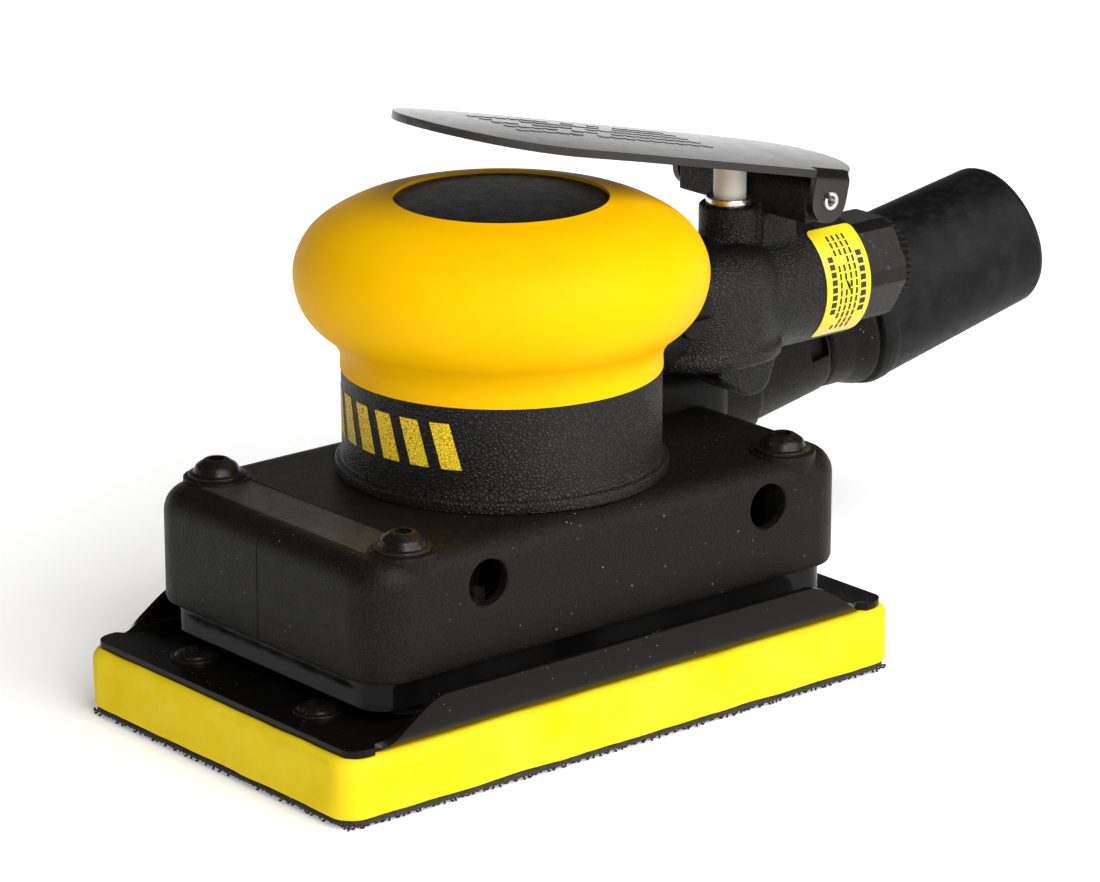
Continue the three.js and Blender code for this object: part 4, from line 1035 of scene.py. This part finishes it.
def lever_ear(side, ear):
    """One ear: the sheet bent down through a round shoulder to a tab with a round foot."""
    half, sheet, bend = LEVER_HALF, LEVER_SHEET, 2.4
    crest = lever_skin(0, half - bend).z + sheet / 2
    section = [(half - bend - 1, crest)]
    section += [(half - bend + bend * math.sin(a), crest - bend * (1 - math.cos(a))) for a in arc(0, 90, 8)]
    section += [(half, -ear - 1), (half - sheet, -ear - 1), (half - sheet, crest - bend)]
    section += [(half - bend, crest - sheet), (half - bend - 1, crest - sheet)]
    sideways = Matrix(((0, 0, 1, 0), (side, 0, 0, 0), (0, 1, 0, 0), (0, 0, 0, 1)))
    tab = [(ear * math.cos(a), ear * math.sin(a)) for a in arc(180, 360, 20)] + [(ear, 10), (-ear, 10)]
    upright = Matrix(((1, 0, 0, 0), (0, 0, side, 0), (0, 1, 0, 0), (0, 0, 0, 1)))
    blank = made("lever_ear_blank", prism(section[::side], -ear - 1, ear + 1, sideways))
    combined(blank, [prism(tab[::-side], half - bend - 2, half + 1, upright)], "INTERSECT")
    shape = [v.co.copy() for v in blank.data.vertices], [list(p.vertices) for p in blank.data.polygons]
    bpy.data.objects.remove(blank)
    return shape


def lever_pin(finish):
    """A rolled spring pin, its slit facing up and forwards."""
    low, high, centre = extent("lever_pin")
    outer, wall, half = 1.75, 0.75, (high.y - low.y) / 2
    run = arc(20, 340, 24)
    path = [(outer * math.cos(a), outer * math.sin(a)) for a in run]
    path += [((outer - wall) * math.cos(a), (outer - wall) * math.sin(a)) for a in reversed(run)]
    slit = Matrix.Rotation(math.radians(-130), 4, "Z")
    piece = made("rolled_lever_pin", prism(path, -half, half, along_y(centre.x, 0, centre.z) @ slit))
    bevelled(piece, 0.12, 2, 50)
    finished(piece, finish, "housing", ["lever_pin"], sharp=40)


def valve_plunger(finish):
    low, high, centre = extent("valve_plunger")
    radius = (high.x - low.x) / 2
    profile = [(0, low.z), (radius, low.z, 0.5), (radius, high.z - 1, 0.8),
               (radius * 0.7, high.z - 0.2, 0.8), (0, high.z)]
    piece = made("nylon_valve_plunger", turned(eased(profile, 0.4, 6), 64, place=along_z(centre.x)))
    finished(piece, finish, "plunger", ["valve_plunger"], sharp=50)


def valve_bush(finish):
    low, high, centre = extent("valve_bush")
    outer = (high.x - low.x) / 2
    profile = eased([(3.35, low.z - 0.5), (outer, low.z - 0.5), (outer, high.z, 0.45), (3.9, high.z, 0.3),
                     (3.35, high.z - 0.4)], 0.2, 4, closed=True)
    piece = made("bright_valve_bush", turned(profile, 64, closed=True, place=along_z(centre.x)))
    finished(piece, finish, "housing", ["valve_bush"], sharp=50)


def speed_dial(finish):
    """A small knob with a grip slot and a notched edge."""
    low, high, centre = extent("speed_dial")
    radius, face, back, stem = 4.2, -low.y, 12.6, high.y + 12.6
    turn = to_front(centre.x, centre.z)
    knob = turned(eased([(0, back - stem), (2.4, back - stem), (2.4, back), (radius, back, 0.2),
                         (radius, face, 0.5), (0, face)], 0.2, 4), 64, place=turn)
    piece = made("notched_speed_dial", knob)
    notches = [cylinder(0.35, back - 0.2, face + 1, 8,
                        turn @ Matrix.Translation((radius * math.cos(a), radius * math.sin(a), 0)))
               for a in arc(0, 360, 16)[:-1]]
    cut(piece, *notches, moved(box_shape((-radius, -0.5, face - 0.8), (radius, 0.5, face + 1)), turn))
    finished(piece, finish, "dial", ["speed_dial"], sharp=40)


# ---------- printed marks ----------
LABEL_LIFT = 5  # degrees above level at which the label's middle faces
LABEL_RADIUS = BARREL_RADIUS + 0.02


def wrapped(points, radius, place):
    """Bends flat points (along the wrap, along the axis, height) round a cylinder."""
    bent = []
    for p in points:
        a = p.x / radius
        bent.append(place @ Vector(((radius + p.z) * math.sin(a), -(radius + p.z) * math.cos(a), p.y)))
    return bent


def label_place():
    """The middle of the label on the barrel, with Z along the barrel."""
    end = corners("body_casting")[1].x
    tip = Matrix.Rotation(math.radians(-LABEL_LIFT), 4, "Z")
    return along_x(end - 6.3, 0, middle("inlet_plug").z) @ tip


def barrel_label(finish):
    radius, length, wrap = LABEL_RADIUS, 11.6, 25
    path = [Vector((p.x, p.y)) for p in outline(wrap, length, 1.3, step=0.6, turns=5)]
    points, rings = [], []
    inner = [(scale, 0.12) for scale in (0.985, 0.8, 0.6, 0.4, 0.2)]
    for scale, height in [(1, -0.1), (1, 0.09), *inner]:
        rings.append(list(range(len(points), len(points) + len(path))))
        points += [Vector((p.x * scale, p.y * scale, height)) for p in path]
    piece = made("barrel_label", (wrapped(points, radius, label_place()), bridged(rings) + [rings[-1]]))
    finished(piece, finish, "housing", sharp=60)


def dashes(name, rows, row_gap, count, pitch, long, tall, kept, finish):
    """Flat dashes in rows, as if a line of print had been blocked out; some are left out at random."""
    t = Tree(name + "_rows", count=count, rows=rows, span=pitch * (count - 1),
             depth=row_gap * max(rows - 1, 0.01), long=float(long), tall=float(tall), kept=float(kept),
             seed=11, finish=finish)
    keep = t.add("FunctionNodeRandomValue", {"Probability": t.given("kept"), "Seed": t.given("seed")},
                 output=3, data_type="BOOLEAN")
    spots, dash = t.grid("span", "depth", "count", "rows"), t.grid("long", "tall", 4, 2)
    return t.grown(name, t.placed(spots, dash, Selection=keep))


def laid(piece, spot, thick=0.05):
    """Moves each flat point to its spot on a surface and gives the print a little body."""
    for vertex in piece.data.vertices:
        vertex.co = spot(vertex.co)
    modified(piece, "SOLIDIFY", thickness=thick, offset=0)
    return settled(piece)


def label_print(finish):
    """The label's blocked-out lines, two heavy ones with finer ones between them."""
    def spot(shift):
        return lambda p: wrapped([Vector((p.x, p.y + shift, 0.13))], LABEL_RADIUS, label_place())[0]
    lines = [laid(dashes("label_line_first", 1, 0, 8, 1.5, 1.1, 1.3, 1, finish), spot(-3.7)),
             laid(dashes("label_lines_fine", 4, 1.35, 13, 1.6, 1.25, 0.5, 0.9, finish), spot(0)),
             laid(dashes("label_line_last", 1, 0, 8, 1.6, 1.15, 1.4, 0.9, finish), spot(3.8))]
    for piece in lines:
        finished(piece, finish, "housing")


def neck_bars(finish):
    """A row of slanting gold bars printed round the front of the motor housing."""
    neck = corners("palm_grip")[0].z
    low, tall, radius = neck - 12, 8.6, NECK_RADIUS + 0.04
    t = Tree("slanting_bars", count=6, span=32.0, wide=3.9, tall=tall, finish=finish)
    start = t.add("ShaderNodeCombineXYZ", {"X": t.math("MULTIPLY", t.given("span"), -0.5)})
    step = t.math("DIVIDE", t.given("span"), t.math("SUBTRACT", t.given("count"), 1))
    line = t.add("GeometryNodeMeshLine", {"Count": t.given("count"), "Start Location": start,
                                          "Offset": t.add("ShaderNodeCombineXYZ", {"X": step})})
    piece = t.grown("neck_gold_bars", t.placed(line, t.grid("wide", "tall", 7, 9)))
    front = Matrix.Translation((0, 0, low + tall / 2)) @ Matrix.Rotation(math.radians(-90), 4, "Z")
    laid(piece, lambda p: wrapped([Vector((p.x - p.y * 0.28, p.y, 0.03))], radius, front)[0])
    finished(piece, finish, "housing")


def lever_dashes(finish):
    """Low raised dashes in rows along the nose of the lever."""
    piece = dashes("lever_raised_dashes", 5, 3.6, 15, 3.3, 2.3, 1.1, 0.8, finish)
    place = lever_place()
    laid(piece, lambda p: place @ (lever_skin(p.x - 45, p.y) + Vector((0, 0, 0.76))), 0.16)
    finished(piece, finish, "lever")


# ---------- what stays as it was built ----------
def carried_over(finishes):
    """Gives the inner pieces that keep their own shapes the finish of what they are made of."""
    kept = {
        "turned_steel": ["spindle", "drive_shaft", "counterweight", "spindle_bearing", "rotor",
                         "motor_liner", "lower_end_plate", "upper_end_plate", "lower_bearing",
                         "upper_bearing"],
        "black_oxide": ["spindle_screw"],
        "cloth_filled_resin": numbered("vane", 5),
        "mottled_black_rubber": numbered("flexible_leg"),
        "grained_nylon": ["lock_nut"],
        "plain_brass": ["lock_ring"],
        "bright_zinc": ["valve_spring"],
    }
    for name, nodes in kept.items():
        for node in nodes:
            mesh = frame["nodes"][node].data
            mesh.materials.clear()
            mesh.materials.append(finishes[name])


def pale_bench(finish):
    edge = [(2500 * math.cos(a), 2500 * math.sin(a)) for a in arc(0, 360, 64)[:-1]]
    floor = made("bench_floor", prism(edge, -5, 0))
    floor.data.transform(Matrix.Scale(MM, 4))
    floor.data.materials.append(finish)


set_camera()
set_light()
leather, nylon, enamel = leather_grained_composite(), grained_nylon(), glossy_black_enamel()
oxide, rubber, zinc, hooks = black_oxide_steel(), mottled_black_rubber(), bright_zinc(), hook_weave()
lever_black = fine_lever_enamel()

pad_foam(moulded_foam())
hook_backing(hooks)
pad_hooks(hooks)
backing_plate(enamel)
screws("plate_screw_heads", numbered("plate_screw"),
       screw_head("plate_head", radius=4.5, height=1.5, flange=0.35, recess=1.9, lobes=6, deep=0.9),
       oxide, "pad", corners("backing_plate")[0].z + 1.4)
dust_shroud(nylon)
shroud_inlays(scuffed_inlay())
smoked_skirt(smoked_skirt_plastic())
screws("shroud_screw_heads", numbered("shroud_screw"),
       screw_head("button_head", radius=5.3, height=3.3, flange=0.7, recess=1.75, lobes=1, deep=1.7),
       oxide, "housing", corners("dust_shroud")[1].z)
motor_housing(leather)
handle_casting(leather)
palm_grip(satin_grip_rubber())
top_cap(leather)
exhaust_duct(nylon)
swivel_tube(nylon)
hose_adapter(rubber)
inlet_bushing(oxide)
inlet_plug(nylon)
throttle_lever(lever_black)
lever_pin(zinc)
valve_plunger(warm_white_nylon())
valve_bush(zinc)
speed_dial(nylon)
barrel_label(yellow_label_film())
label_print(black_print())
neck_bars(gold_print())
lever_dashes(lever_black)
carried_over({material.name: material for material in (
    turned_steel(), oxide, vane_resin(), rubber, nylon, plain_brass(), zinc)})
pale_bench(pale_floor())
